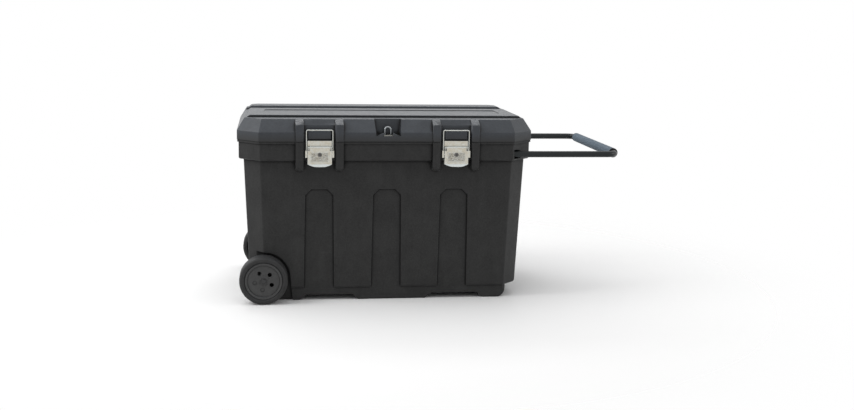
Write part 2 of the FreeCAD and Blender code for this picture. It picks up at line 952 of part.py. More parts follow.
def lid_outside():
    """Lip, sloped flanks, raised plateau and latch ribs."""
    lip = prism("LidLip", "XY", octagon(lip_plan), (lid_bottom, lip_top))
    flank = drafted("LidFlank", lip_plan, lip_top, ledge_plan, ledge_height)
    shoulders = rounded("LidShoulders", fuse("LidBlock", lip, flank), s.lid_round, not_at_bottom(lid_bottom))
    ribs = [
        prism(
            f"LidRib{side.title()}{i}",
            "YZ",
            [
                (-rib_front, lid_bottom),
                (-rib_front, rib_shoulder),
                (-ledge_half_depth, ledge_height - s.seat_gap),
                (-ledge_half_depth, lid_bottom),
            ],
            span,
        )
        for side, centre in latch_centres().items()
        for i, span in enumerate(mirrored_spans(centre, rib_inner, rib_outer))
    ]
    return fuse("LidOutside", shoulders, plateau(), *ribs)


def plateau():
    """The raised top: upright at the front, bevelled at its ends and back, with its back corners cut."""
    low = ledge_height - OVERLAP
    wide = plateau_half_length + s.plateau_flare
    deep = plateau_back + s.plateau_flare
    ends = trapezium("PlateauEnds", "XZ", wide, low, plateau_half_length, plateau_height, lid_half_depth)
    back = prism(
        "PlateauBack",
        "YZ",
        [
            (plateau_front, low),
            (deep, low),
            (plateau_back, plateau_height),
            (plateau_front, plateau_height),
        ],
        both(lid_half_length),
    )
    plan = prism("PlateauPlan", "XY", plateau_outline(wide, plateau_front, deep), (low, plateau_height))
    return shared("Plateau", ends, back, plan)


def plateau_outline(half_length, front, back):
    """The plateau's plan: square at the front, with its back corners cut."""
    return [
        (-half_length, front),
        (half_length, front),
        (half_length, back - s.plateau_corner),
        (half_length - s.plateau_corner, back),
        (-half_length + s.plateau_corner, back),
        (-half_length, back - s.plateau_corner),
    ]


def groove(name, grow):
    """The groove for pipes and boards, along the whole lid: a V whose back starts with an upright step.

    It is grown by a wall for the lid's inside.
    """
    middle = (groove_front + groove_back) * 0.5
    top = plateau_height + OVERLAP
    bottom = plateau_height - s.groove_depth - grow
    return prism(
        name,
        "YZ",
        [
            (groove_front - OVERLAP - grow, top),
            (middle - s.groove_floor * 0.5 - grow * 0.5, bottom),
            (middle + s.groove_floor * 0.5 + grow * 0.5, bottom),
            (groove_back + grow, plateau_height - s.groove_step - grow),
            (groove_back + grow, top),
        ],
        both(lid_half_length + CLEAR),
    )


def padlock_recess(name, grow):
    """The recess at the front of the lid that the staple stands in."""
    return prism(
        name,
        "XZ",
        [
            (-s.recess_half_floor - grow, recess_floor - grow),
            (s.recess_half_floor + grow, recess_floor - grow),
            (s.recess_half_top + grow, plateau_height),
            (-s.recess_half_top - grow, plateau_height),
        ],
        across(FRONT, recess_back - grow, rib_front + CLEAR),
    )


def latch_pockets(name, grow):
    """The upright pockets between the ribs, where the bails lie."""
    return [
        box(
            f"{name}{side.title()}",
            (centre - rib_inner - grow, centre + rib_inner + grow),
            across(FRONT, pocket_back - grow, rib_front + CLEAR),
            (lid_bottom - OVERLAP, ledge_height + OVERLAP),
        )
        for side, centre in latch_centres().items()
    ]


def lid_inside():
    """The hollow of the lid, kept off the groove, the padlock recess and the latch pockets."""
    lip_hollow = inset(lip_plan, s.lid_wall)
    low = prism("LipHollow", "XY", octagon(lip_hollow), (lid_bottom - OVERLAP, lip_top - s.lid_wall))
    high = drafted(
        "FlankHollow",
        lip_hollow,
        lip_top - s.lid_wall,
        inset(ledge_plan, s.lid_wall),
        ledge_height - s.lid_wall,
    )
    top = prism(
        "PlateauHollow",
        "XY",
        plateau_outline(
            plateau_half_length - s.lid_wall,
            plateau_front + s.lid_wall,
            plateau_back - s.lid_wall,
        ),
        (ledge_height - s.lid_wall - OVERLAP, plateau_height - s.lid_wall),
    )
    return cut(
        "LidInside",
        fuse("LidHollows", low, high, top),
        groove("GrooveKeep", s.lid_wall),
        padlock_recess("RecessKeep", s.lid_wall),
        *latch_pockets("PocketKeep", s.lid_wall),
    )


def padlock_hood():
    """The low arched lip at the front of the recess, with a notch for the padlock."""
    half = s.hood_half_width
    height = s.hood_height
    radius = arc_radius(half, height)
    span = across(FRONT, lid_half_depth - s.hood_thickness, lid_half_depth - s.seat_gap)
    disc = rod("HoodDisc", "Y", radius, span, (none, recess_floor + height - radius))
    top = recess_floor + height + OVERLAP
    window = box("HoodWindow", both(half), span, (recess_floor - OVERLAP, top))
    notch = box(
        "HoodNotch",
        both(s.hood_notch),
        (span[0] - OVERLAP, span[1] + OVERLAP),
        (recess_floor, top),
    )
    return cut("Hood", shared("HoodArc", disc, window), notch)


def lid_knuckle(name, centre):
    """A knuckle on an arm from the lid's back lip."""
    span = (centre - s.lid_knuckle * 0.5, centre + s.lid_knuckle * 0.5)
    root = lid_half_depth - OVERLAP
    arm = prism(
        name + "Arm",
        "YZ",
        [
            (root, lid_bottom),
            (hinge_y, lid_bottom),
            (hinge_y, s.parting_height + s.hinge_radius),
            (root, lip_top - s.lid_round),
        ],
        span,
    )
    return fuse(name, arm, rod(name + "Eye", "X", s.hinge_radius, span, hinge_at))


def build_lid():
    shell = cut("LidShell", lid_outside(), lid_inside())
    panel = box(
        "Panel",
        both(plateau_half_length - s.panel_margin_end),
        (plateau_front + s.panel_margin_front, groove_front - s.panel_margin_back),
        (plateau_height - s.panel_depth, plateau_height + OVERLAP),
    )
    staple_slot = box(
        "StapleSlot",
        both(slot_half_length),
        (-staple_front - slot_half_width, -staple_front + slot_half_width),
        (recess_floor - s.lid_wall - OVERLAP, recess_floor + OVERLAP),
    )
    opened = cut(
        "LidOpened",
        shell,
        groove("GrooveCut", none),
        padlock_recess("RecessCut", none),
        rounded("PanelRounded", panel, s.panel_round, leaning),
        staple_slot,
        *latch_pockets("Pocket", none),
    )
    catches = [
        box(
            f"{side.title()}Catch",
            (centre - catch_half_width, centre + catch_half_width),
            across(FRONT, pocket_back - OVERLAP, catch_front),
            (catch_bottom, catch_top),
        )
        for side, centre in latch_centres().items()
    ]
    knuckles = [lid_knuckle(f"LidKnuckle{i}", centre) for i, centre in enumerate(hinge_centres())]
    pin_bores = [
        rod(
            f"LidPinBore{i}",
            "X",
            s.hinge_pin_radius + s.running_gap,
            (centre - s.lid_knuckle, centre + s.lid_knuckle),
            hinge_at,
        )
        for i, centre in enumerate(hinge_centres())
    ]
    rivet_holes = [
        rod(
            f"PlateRivetHole{i}",
            "Z",
            s.rivet_radius + s.running_gap,
            (recess_floor - s.lid_wall - OVERLAP, recess_floor + OVERLAP),
            (x, -staple_front),
        )
        for i, x in enumerate(both(s.padlock_rivet_x))
    ]
    return cut(
        "Lid",
        fuse("LidWithKnuckles", opened, padlock_hood(), *catches, *knuckles),
        *pin_bores,
        *rivet_holes,
    )


# Hinge pins, padlock staple and its plate

def build_hinge_pins():
    half = s.lid_knuckle * 0.5 + s.knuckle_gap + s.tub_knuckle
    end = half + s.hinge_head
    pins = []
    for i, centre in enumerate(hinge_centres()):
        shank = rod(f"PinShank{i}", "X", s.hinge_pin_radius, (centre - end, centre + end), hinge_at)
        heads = [
            rod(f"PinHead{i}{j}", "X", s.hinge_head_radius, span, hinge_at)
            for j, span in enumerate(mirrored_spans(centre, half, end))
        ]
        pins.append(fuse(f"HingePin{i}", shank, *heads))
    return group("HingePins", *pins)


def build_padlock_staple():
    """A round steel loop whose legs go down through the rim's lug, with a collar under it."""
    bend = s.staple_half_width
    legs = staple_holes("StapleLeg", s.staple_radius, (staple_low, staple_top))
    centre = (none, -staple_front, staple_top)
    crown = [
        quarter_bend("StapleCrownRight", bend, s.staple_radius, centre, [((1, 0, 0), 90)]),
        quarter_bend("StapleCrownLeft", bend, s.staple_radius, centre, [((1, 0, 0), 90), ((0, 1, 0), -90)]),
    ]
    lug_bottom = s.parting_height - s.lug_plate_height
    collar_radius = s.staple_radius + s.collar_width
    collars = staple_holes("StapleCollar", collar_radius, (staple_low, lug_bottom))
    return fuse("PadlockStaple", *legs, *crown, *collars)


def build_padlock_plate():
    top = recess_floor + s.plate_thickness
    plate = box(
        "PadlockPlateBlank",
        both(s.padlock_plate_half_length),
        (-staple_front - s.padlock_plate_half_width, -staple_front + s.padlock_plate_half_width),
        (recess_floor, top),
    )
    slot = box(
        "PadlockPlateSlot",
        both(slot_half_length),
        (-staple_front - slot_half_width, -staple_front + slot_half_width),
        (recess_floor - OVERLAP, top + OVERLAP),
    )
    holes = [
        rod(
            f"PadlockPlateHole{i}",
            "Z",
            s.rivet_radius + s.running_gap,
            (recess_floor - OVERLAP, top + OVERLAP),
            (x, -staple_front),
        )
        for i, x in enumerate(both(s.padlock_rivet_x))
    ]
    return cut("PadlockPlate", plate, slot, *holes)


def build_padlock_rivets():
    top = recess_floor + s.plate_thickness
    head_end = top + s.rivet_head
    rivets = []
    for i, x in enumerate(both(s.padlock_rivet_x)):
        at = (x, -staple_front)
        shank = rod(f"PlateRivetShank{i}", "Z", s.rivet_radius, (recess_floor - s.lid_wall, head_end), at)
        head = rod(f"PlateRivetHead{i}", "Z", s.rivet_head_radius, (top, head_end), at)
        rivets.append(fuse(f"PlateRivet{i}", shank, head))
    return group("PadlockRivets", *rivets)


# Latches

def pivot_hole(name, radius, centre, half):
    """A rod along the lever's pivot."""
    return rod(name, "X", radius, (centre - half, centre + half), (-pivot_front, pivot_height))


def build_latch_base(side, centre):
    name = f"LatchBase{side.title()}"
    plate = box(
        name + "Plate",
        (centre - s.latch_half_width, centre + s.latch_half_width),
        across(FRONT, s.band_half_depth, base_front),
        (base_low, base_high),
    )
    ears = []
    for i, span in enumerate(mirrored_spans(centre, ear_inner, ear_outer)):
        stem = box(
            f"{name}Stem{i}",
            span,
            across(FRONT, s.band_half_depth, pivot_front),
            (pivot_height - s.ear_radius, pivot_height + s.ear_radius),
        )
        eye = rod(f"{name}Eye{i}", "X", s.ear_radius, span, (-pivot_front, pivot_height))
        ears += [stem, eye]
    holes = [
        rod(
            f"{name}Hole{i}",
            "Y",
            s.rivet_radius + s.running_gap,
            across(FRONT, s.band_half_depth - OVERLAP, base_front + OVERLAP),
            (x, z),
        )
        for i, (x, z) in enumerate(rivet_places(centre))
    ]
    pivot = pivot_hole(name + "Pivot", s.pivot_radius + s.running_gap, centre, rib_inner)
    return cut(name, fuse(name + "Body", plate, *ears), pivot, *holes)


def build_latch_lever(side, centre):
    """A stamped lever: face plate, side flanges, a barrel round the pivot and a bowed finger lip."""
    name = f"LatchLever{side.title()}"
    face_span = across(FRONT, lever_plate_back, lever_front)
    barrel_half = ear_inner - s.swing_gap
    barrel_span = (centre - barrel_half, centre + barrel_half)
    face = box(
        name + "Face",
        (centre - s.latch_half_width, centre + s.latch_half_width),
        face_span,
        (lever_low, lever_shoulder),
    )
    neck = box(name + "Neck", barrel_span, face_span, (lever_shoulder - OVERLAP, pivot_height))
    barrel = rod(name + "Barrel", "X", s.barrel_radius, barrel_span, (-pivot_front, pivot_height))
    lip_plate = prism(
        name + "LipPlate",
        "YZ",
        [
            (-lever_plate_back, lever_low + OVERLAP),
            (-lever_front, lever_low + OVERLAP),
            (-lever_front, lever_low),
            (-lever_front - s.lip_reach, lever_low - s.lip_drop),
            (-lever_plate_back - s.lip_reach, lever_low - s.lip_drop - s.plate_thickness),
            (-lever_plate_back, lever_low - s.plate_thickness),
        ],
        (centre - s.latch_half_width, centre + s.latch_half_width),
    )
    lip_height = s.lip_drop + s.plate_thickness
    bow_radius = arc_radius(s.latch_half_width, lip_height)
    bow_span = across(FRONT, base_front, lever_front + CLEAR)
    bow_at = (centre, lever_low - lip_height + bow_radius)
    lip = shared(name + "Lip", lip_plate, rod(name + "LipBow", "Y", bow_radius, bow_span, bow_at))
    flanges = []
    flange_inner = s.latch_half_width - s.plate_thickness
    for i, span in enumerate(mirrored_spans(centre, flange_inner, s.latch_half_width)):
        web = prism(
            f"{name}Web{i}",
            "YZ",
            [
                (-lever_front, lever_low + s.lip_drop),
                (-lever_back, lever_low + s.lip_drop * 2),
                (-lever_back, pivot_height),
                (-pivot_front - s.barrel_radius, pivot_height),
                (-lever_front, lever_shoulder),
            ],
            span,
        )
        eye = rod(f"{name}Eye{i}", "X", s.barrel_radius, span, (-pivot_front, pivot_height))
        flanges += [web, eye]
    proud_span = across(FRONT, lever_plate_back, lever_front + s.frame_proud)
    outer = s.latch_half_width - s.frame_inset
    inner = outer - s.frame_width
    frame_low = lever_low + s.frame_low_margin
    frame_high = lever_shoulder - s.frame_high_margin
    window_span = (frame_low + s.frame_width, frame_high - s.frame_width)
    frame = cut(
        name + "Frame",
        box(name + "FrameOuter", (centre - outer, centre + outer), proud_span, (frame_low, frame_high)),
        box(name + "FrameInner", (centre - inner, centre + inner), proud_span, window_span),
    )
    pivot = pivot_hole(name + "Pivot", s.pivot_radius + s.running_gap, centre, rib_inner)
    bail_bore = rod(
        name + "BailBore",
        "X",
        s.bail_pin_radius + s.running_gap,
        (centre - rib_inner, centre + rib_inner),
        (-bail_pivot_front, bail_pivot_height),
    )
    lock_hole = rod(
        name + "LockHole",
        "Y",
        s.lock_radius + s.running_gap,
        across(FRONT, lever_plate_back - OVERLAP, lever_front + OVERLAP),
        (centre, lock_height),
    )
    body = fuse(name + "Body", face, neck, barrel, lip, frame, *flanges)
    return cut(name, body, pivot, bail_bore, lock_hole)


def build_latch_pin(side, centre):
    return pivot_hole(f"LatchPin{side.title()}", s.pivot_radius, centre, s.latch_half_width + s.seat_gap)


def build_latch_bail(side, centre):
    """A bent wire loop that ends in two flat lugs, each with a pin into the lever's flange."""
    name = f"LatchBail{side.title()}"
    corner_z = bail_top - s.bail_bend
    corner_x = bail_half_width - s.bail_bend
    bar = rod(
        name + "Bar",
        "X",
        s.bail_radius,
        (centre - corner_x, centre + corner_x),
        (-bail_front, bail_top),
    )
    pieces = [bar]
    lug_middle = (bail_front + bail_pivot_front) * 0.5
    lugs = mirrored_spans(centre, lug_inner, lug_outer)
    pins = mirrored_spans(centre, ear_outer + s.seat_gap, (lug_inner + lug_outer) * 0.5)
    for i, sign in enumerate((-1, 1)):
        leg_x = centre + bail_half_width * sign
        leg_span = (bail_pivot_height, corner_z)
        leg = rod(f"{name}Leg{i}", "Z", s.bail_radius, leg_span, (leg_x, -bail_front))
        turns = [((1, 0, 0), 90)] if sign > 0 else [((1, 0, 0), 90), ((0, 1, 0), -90)]
        corner = (centre + corner_x * sign, -bail_front, corner_z)
        bend = quarter_bend(f"{name}Bend{i}", s.bail_bend, s.bail_radius, corner, turns)
        lug = box(
            f"{name}Lug{i}",
            lugs[i],
            across(FRONT, lug_middle - s.lug_half_depth, lug_middle + s.lug_half_depth),
            (bail_pivot_height - s.lug_half_height, bail_pivot_height + s.lug_half_height),
        )
        pivot_at = (-bail_pivot_front, bail_pivot_height)
        pin = rod(f"{name}Pin{i}", "X", s.bail_pin_radius, pins[i], pivot_at)
        pieces += [leg, bend, lug, pin]
    return fuse(name, *pieces)


def build_lock_plug(side, centre):
    """The turning plug of the key lock, with its keyway and the cam behind it."""
    name = f"LockPlug{side.title()}"
    front = lever_front + s.lock_proud
    plug = rod(name + "Barrel", "Y", s.lock_radius, across(FRONT, lock_back, front), (centre, lock_height))
    cam = box(
        name + "Cam",
        (centre - s.cam_half_width, centre + s.cam_half_width),
        across(FRONT, lock_back - s.cam_thickness, lock_back + OVERLAP),
        (lock_height - s.cam_half_length, lock_height + s.cam_half_length),
    )
    keyway = box(
        name + "Keyway",
        (centre - s.keyway_half_width, centre + s.keyway_half_width),
        across(FRONT, front - s.keyway_depth, front + OVERLAP),
        (lock_height - s.keyway_half_height, lock_height + s.keyway_half_height),
    )
    return cut(name, fuse(name + "Body", plug, cam), keyway)


def build_latch_rivets():
    rivets = []
    head_end = base_front + s.rivet_head
    for i, at in enumerate(all_rivet_places()):
        shank = rod(f"RivetShank{i}", "Y", s.rivet_radius, across(FRONT, band_inside, head_end), at)
        head = rod(f"RivetHead{i}", "Y", s.rivet_head_radius, across(FRONT, base_front, head_end), at)
        rivets.append(fuse(f"Rivet{i}", shank, head))
    return group("LatchRivets", *rivets)


# Wheels and axle

def wheel_placement(thing, side):
    """Set a piece turned about the Y axis on the axle, its outer face to its own side."""
    if side == BACK:
        thing.Placement.Rotation = FreeCAD.Rotation(FreeCAD.Vector(0, 0, 1), 180)
    place(thing, wheel_x, 0, wheel_height)


def build_tyre(name, side):
    outer = -wheel_face
    inner = -wheel_face + s.wheel_width
    bore = s.hub_radius + s.running_gap
    ring = turned(
        name + "Ring",
        [(outer, bore), (inner, bore), (inner, s.wheel_radius), (outer, s.wheel_radius)],
    )
    wheel_placement(ring, side)
    limit = s.wheel_radius.value - NEAR
    return rounded(name, ring, s.tyre_round, lambda edge: round_edge_radius(edge) > limit)


def round_edge_radius(edge):
    """A circular edge's radius, and 0 for a straight one."""
    return edge.Curve.Radius if isinstance(edge.Curve, Part.Circle) else 0


def build_hub(name, side):
    """Dished hub: bored boss, web and rim under the tyre, with round holes, some of them only dimples."""
    face = -wheel_face
    bore = s.axle_radius + s.running_gap
    rim_face = face + s.hub_recess
    web_face = face + s.web_recess
    web_back = web_face + s.web_thickness
    inner = face + s.wheel_width - s.hub_recess
    boss_end = -well_inner - s.washer_space
    rim_inside = s.hub_radius - s.hub_rim
    disc = turned(
        name + "Disc",
        [
            (-boss_face, bore),
            (-boss_face, s.boss_radius - s.boss_proud),
            (web_face, s.boss_radius),
            (web_face, rim_inside - s.hub_draft),
            (rim_face, rim_inside + s.hub_draft),
            (rim_face, s.hub_radius),
            (inner, s.hub_radius),
            (inner, rim_inside),
            (web_back, rim_inside - s.hub_draft),
            (web_back, s.boss_radius),
            (boss_end, s.boss_radius),
            (boss_end, bore),
        ],
    )
    holes = []
    for i in range(HOLE_COUNT):
        angle = math.radians(FIRST_HOLE + 360 / HOLE_COUNT * i)
        depth_end = web_face + s.dimple_depth if i in DIMPLES else web_back + OVERLAP
        x = s.hole_circle * round(math.cos(angle), 6)
        z = s.hole_circle * round(math.sin(angle), 6)
        holes.append(rod(f"{name}Hole{i}", "Y", s.hole_radius, (face, depth_end), (x, z)))
    hub = cut(name, disc, *holes)
    wheel_placement(hub, side)
    return hub


def build_axle():
    return rod("Axle", "Y", s.axle_radius, both(axle_end), axle_at)


def build_axle_caps():
    """Push-on caps that keep the wheels on the axle."""
    caps = []
    seat = boss_face + s.seat_gap
    end = seat + s.cap_length
    for name, side in SIDES.items():
        dome = rod(f"{name.title()}CapDome", "Y", s.cap_radius, across(side, seat, end), axle_at)
        soft = rounded(
            f"{name.title()}CapSoft",
            dome,
            s.cap_round,
            lambda edge: abs(edge.BoundBox.Center.y) > end.value - NEAR,
        )
        bore = rod(
            f"{name.title()}CapBore",
            "Y",
            s.axle_radius + s.running_gap,
            across(side, seat - OVERLAP, axle_end + s.running_gap),
            axle_at,
        )
        caps.append(cut(f"{name.title()}Cap", soft, bore))
    return group("AxleCaps", *caps)


def build_axle_washers():
    washers = []
    for name, side in SIDES.items():
        span = across(side, well_inner + s.seat_gap, well_inner + s.washer_space - s.seat_gap)
        disc = rod(f"{name.title()}WasherDisc", "Y", s.washer_radius, span, axle_at)
        bore = rod(
            f"{name.title()}WasherBore",
            "Y",
            s.axle_radius + s.running_gap,
            (span[0] - OVERLAP, span[1] + OVERLAP),
            axle_at,
        )
        washers.append(cut(f"{name.title()}Washer", disc, bore))
    return group("AxleWashers", *washers)


# Pull handle

def bent_bar(name, radius, inner_end):
    """The handle's U: two arms, two bends and the crossbar."""
    straight_x = grip_x - s.bend_radius
    straight_y = arm_y - s.bend_radius
    arms = [
        rod(f"{name}Arm{i}", "X", radius, (inner_end, straight_x), (y, arm_height))
        for i, y in enumerate(both(arm_y))
    ]
    crossbar = rod(name + "Crossbar", "Y", radius, both(straight_y), (grip_x, arm_height))
    front_centre = (straight_x, -straight_y, arm_height)
    back_centre = (straight_x, straight_y, arm_height)
    bends = [
        quarter_bend(name + "FrontBend", s.bend_radius, radius, front_centre, [((0, 0, 1), -90)]),
        quarter_bend(name + "BackBend", s.bend_radius, radius, back_centre, []),
    ]
    return fuse(name, *arms, crossbar, *bends)


def build_handle_tube():
    bar = bent_bar("HandleBar", s.tube_radius, arm_inner)
    hollow = bent_bar("HandleHollow", s.tube_radius - s.tube_wall, arm_inner - OVERLAP)
    return cut("HandleTube", bar, hollow)


def build_handle_grip():
    half = arm_y - s.bend_radius - s.grip_margin
    at = (grip_x, arm_height)
    foam = rod("GripFoam", "Y", s.grip_radius, both(half), at)
    bore = rod("GripBore", "Y", s.tube_radius + s.running_gap, both(half + OVERLAP), at)
    return cut("HandleGrip", foam, bore)


def build_slider(name, side):
    """The block on an arm's inner end: it runs in the channel and stops against the guide sleeve."""
    block = box(
        name + "Block",
        (arm_inner - s.slider_tail, arm_inner + s.slider_grip),
        across(side, rail_inner + s.rail_thickness + s.slide_gap, band_inside - s.slide_gap),
        (ledge_top + s.slide_gap, rail_top - s.rail_thickness - s.slide_gap),
    )
    socket = rod(
        name + "Socket",
        "X",
        s.tube_radius + s.running_gap,
        (arm_inner, arm_inner + s.slider_grip + OVERLAP),
        (arm_y * side, arm_height),
    )
    return cut(name, block, socket)


def channel_holes(name, side, places):
    """Screw holes through a rail's or sleeve's upright lip."""
    return [
        rod(
            f"{name}Hole{i}",
            "Y",
            s.screw_radius + s.running_gap,
            across(side, rail_inner, band_inside + OVERLAP),
            (x, screw_height),
        )
        for i, (where, x) in enumerate(places)
        if where == side
    ]


def upright_lip(name, side, x_span):
    """The lip that is screwed to the inside of the rim band."""
    return box(
        name,
        x_span,
        across(side, rail_lip_face, band_inside - s.seat_gap),
        (rail_top - s.rail_thickness, rail_top + s.rail_lip),
    )


def build_sleeve(name, side):
    """Guide sleeve that carries an arm where it leaves the rim band."""
    x_span = (sleeve_start, sleeve_end)
    block = box(
        name + "Block",
        x_span,
        across(side, rail_inner, band_inside - s.seat_gap),
        (ledge_top + s.seat_gap, rail_top),
    )
    bore = rod(
        name + "Bore",
        "X",
        s.tube_radius + s.guide_gap,
        (x_span[0] - OVERLAP, x_span[1] + OVERLAP),
        (arm_y * side, arm_height),
    )
    body = fuse(name + "Body", block, upright_lip(name + "Lip", side, x_span))
    return cut(name, body, bore, *channel_holes(name, side, screw_places()))


def build_rail(name, side):
    """Cover rail over the arm's channel: lip on the rim band, flat top that the tray slides on, and skirt."""
    x_span = (rail_left, rail_right)
    top = box(
        name + "Top",
        x_span,
        across(side, rail_inner, band_inside - s.seat_gap),
        (rail_top - s.rail_thickness, rail_top),
    )
    skirt = box(
        name + "Skirt",
        x_span,
        across(side, rail_inner, rail_inner + s.rail_thickness),
        (ledge_top, rail_top),
    )
    body = fuse(name + "Body", top, skirt, upright_lip(name + "Lip", side, x_span))
    return cut(name, body, *channel_holes(name, side, screw_places()))


def build_channel_screws():
    head_face = rail_lip_face - s.screw_head
    screws = []
    for i, (side, x) in enumerate(screw_places()):
        at = (x, screw_height)
        shank_span = across(side, head_face, band_inside + s.screw_length)
        shank = rod(f"ScrewShank{i}", "Y", s.screw_radius, shank_span, at)
        head = rod(f"ScrewHead{i}", "Y", s.screw_head_radius, across(side, head_face, rail_lip_face), at)
        screws.append(fuse(f"Screw{i}", shank, head))
    return group("ChannelScrews", *screws)


# Tool tray

def build_tray():
    """Open tray that hangs on the rails by its two flanges, with a divider down its middle."""
    flange_low = rail_top + s.seat_gap
    flange_top = flange_low + s.tray_wall
    bottom = flange_top - s.tray_depth
    x_span = (tray_left, tray_right)
    flange = box("TrayFlange", x_span, both(tray_flange_half), (flange_low, flange_top))
    pan = box("TrayPan", x_span, both(tray_half), (bottom, flange_top))
    divide = s.tray_divider * 0.5
    inside = (bottom + s.tray_wall, flange_top + OVERLAP)
    bays = [
        box(
            f"TrayBay{i}",
            (tray_left + s.tray_wall, tray_right - s.tray_wall),
            across(side, divide, tray_half - s.tray_wall),
            inside,
        )
        for i, side in enumerate(SIDES.values())
    ]
    return cut("ToolTray", fuse("TrayBlank", flange, pan), *bays)


def build_all():
    """Every sub-part under the name of its file."""
    parts = {
        "tub": build_tub(),
        "lid": build_lid(),
        "hinge_pins": build_hinge_pins(),
        "padlock_staple": build_padlock_staple(),
        "padlock_plate": build_padlock_plate(),
        "padlock_plate_rivets": build_padlock_rivets(),
        "latch_rivets": build_latch_rivets(),
        "axle": build_axle(),
        "axle_caps": build_axle_caps(),
        "axle_washers": build_axle_washers(),
        "handle_tube": build_handle_tube(),
        "handle_grip": build_handle_grip(),
        "channel_screws": build_channel_screws(),
        "tool_tray": build_tray(),
    }
    for side, centre in latch_centres().items():
        parts[f"latch_base_{side}"] = build_latch_base(side, centre)
        parts[f"latch_lever_{side}"] = build_latch_lever(side, centre)
        parts[f"latch_pin_{side}"] = build_latch_pin(side, centre)
        parts[f"latch_bail_{side}"] = build_latch_bail(side, centre)
        parts[f"lock_plug_{side}"] = build_lock_plug(side, centre)
    for name, side in SIDES.items():
        parts[f"wheel_tyre_{name}"] = build_tyre(f"Tyre{name.title()}", side)
        parts[f"wheel_hub_{name}"] = build_hub(f"Hub{name.title()}", side)
        parts[f"handle_slider_{name}"] = build_slider(f"Slider{name.title()}", side)
        parts[f"handle_sleeve_{name}"] = build_sleeve(f"Sleeve{name.title()}", side)
        parts[f"channel_rail_{name}"] = build_rail(f"Rail{name.title()}", side)
    return parts


def check(parts):
    """Stop before anything is written if an object failed or a shape is not sound."""
    for thing in doc.Objects:
        if "Invalid" in thing.State or "Error" in thing.State:
            raise RuntimeError(f"{thing.Label} failed: {thing.State}")
    for name, thing in parts.items():
        if thing.Shape.isNull() or not thing.Shape.isValid() or not thing.Shape.Solids:
            raise RuntimeError(f"{name} has no sound solid")


def main():
    parts = build_all()
    for name, thing in parts.items():
        thing.Label = name
    doc.recompute()
    check(parts)
    os.makedirs("parts", exist_ok=True)
    for name, thing in parts.items():
        thing.Shape.exportStep(f"parts/{name}.step")
        print(name, len(thing.Shape.Solids), "solids", round(thing.Shape.Volume / 1000, 1), "cm3")


main()
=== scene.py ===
"""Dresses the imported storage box: moulded shells, wheels, handle, latches, fittings and a plain stage."""
import json
import math

import bmesh
import bpy
import numpy as np
from bpy.props import FloatProperty, FloatVectorProperty, IntProperty, PointerProperty
from mathutils import Matrix, Vector


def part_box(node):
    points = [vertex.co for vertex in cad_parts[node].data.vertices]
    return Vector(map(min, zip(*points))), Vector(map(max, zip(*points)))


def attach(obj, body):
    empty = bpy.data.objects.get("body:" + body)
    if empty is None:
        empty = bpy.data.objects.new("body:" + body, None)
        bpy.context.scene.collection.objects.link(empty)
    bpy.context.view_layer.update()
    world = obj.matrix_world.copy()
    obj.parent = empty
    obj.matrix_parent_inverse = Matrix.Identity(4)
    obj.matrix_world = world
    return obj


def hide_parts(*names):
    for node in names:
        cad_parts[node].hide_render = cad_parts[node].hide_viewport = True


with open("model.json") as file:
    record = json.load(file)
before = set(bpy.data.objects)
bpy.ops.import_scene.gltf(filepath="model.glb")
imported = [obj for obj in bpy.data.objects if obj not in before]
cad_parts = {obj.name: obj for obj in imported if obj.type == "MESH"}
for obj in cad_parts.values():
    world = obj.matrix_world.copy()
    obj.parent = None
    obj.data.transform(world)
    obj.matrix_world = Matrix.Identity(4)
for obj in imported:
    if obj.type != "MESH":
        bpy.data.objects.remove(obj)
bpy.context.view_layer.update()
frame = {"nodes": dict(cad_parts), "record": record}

bl_info = {
    "name": "Jobsite storage box",
    "version": (1, 0, 0),
    "blender": (4, 5, 0),
    "location": "View3D > Sidebar > Storage Box",
    "description": "Dresses the packed storage box with its finishes, tyres, foam grip and stage",
    "category": "Object",
}

RECORD = frame["record"]
BODY_OF = {node: body for body, nodes in RECORD["behaviour"]["bodies"].items() for node in nodes}
SIDES = ("left", "right")
ENDS = ("front", "rear")
FULL_TURN = 2 * math.pi

# The photograph's width and the focal length that fits it, in pixels, and the camera's sensor in millimetres
IMAGE_WIDTH = 854
FOCAL_PIXELS = 1135.3
SENSOR_WIDTH = 36.0

# Each lamp's place, the point that it looks at, and its width and height, by the name of its power setting
LAMPS = {
    "overhead": ((-0.4, 0.1, 2.4), (0, 0, 0.5), (3.6, 2.6)),
    "back": ((-0.2, 1.7, 2.4), (0, -0.27, 0.58), (3.0, 0.55)),
    "left": ((-2.3, -0.5, 2.0), (0, 0, 0.5), (1.2, 1.2)),
    "right": ((2.6, -0.9, 1.1), (0, 0, 0.3), (1.2, 1.2)),
}
FLOOR_ROUGHNESS = 0.9

# Copies of CAD nodes: nearer points are one, flatter faces are joined, and sharper edges are rounded
MERGE_DISTANCE = 1e-5
FLAT_ANGLE = math.radians(0.5)
SHARP_ANGLE = math.radians(25)
# A rounding needs this many times its own width of room
ROOM_PER_WIDTH = 2.4
# A rounding under this share of the full width is left out
LEAST_SHARE = 0.2

# A tread groove is a cosine wave made this much steeper, sunk by this much and clipped to between 0 and 1
GROOVE_STEEPNESS = 3
GROOVE_SINK = 2

# The hinge lies at the joint between tub and lid, so its knuckles reach as far below the joint as above it
SEAM_HEIGHT = (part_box("tub")[1][2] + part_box("lid")[0][2]) / 2
# Strength of the painted shade along the joint between tub and lid
SEAM_SHADE = 0.9
# The lid takes its own colour over this height above the joint
FADE_HEIGHT = 0.027

# The brightness of a finish's second tone, as a share of the first
PALE_TRAY = 1.3
PALE_HUB = 1.25
PALE_GUIDE = 1.4
PALE_TYRE = 1.5
PALE_PAINT = 1.35
LID_FOOT = 1.15
# Rubbed edges of plated steel are brighter than clean plate: wear with a painted glint
PLATE_EDGE_GLINT = 1.3
DULL_ZINC = 0.7
CAP_ZINC = 0.1

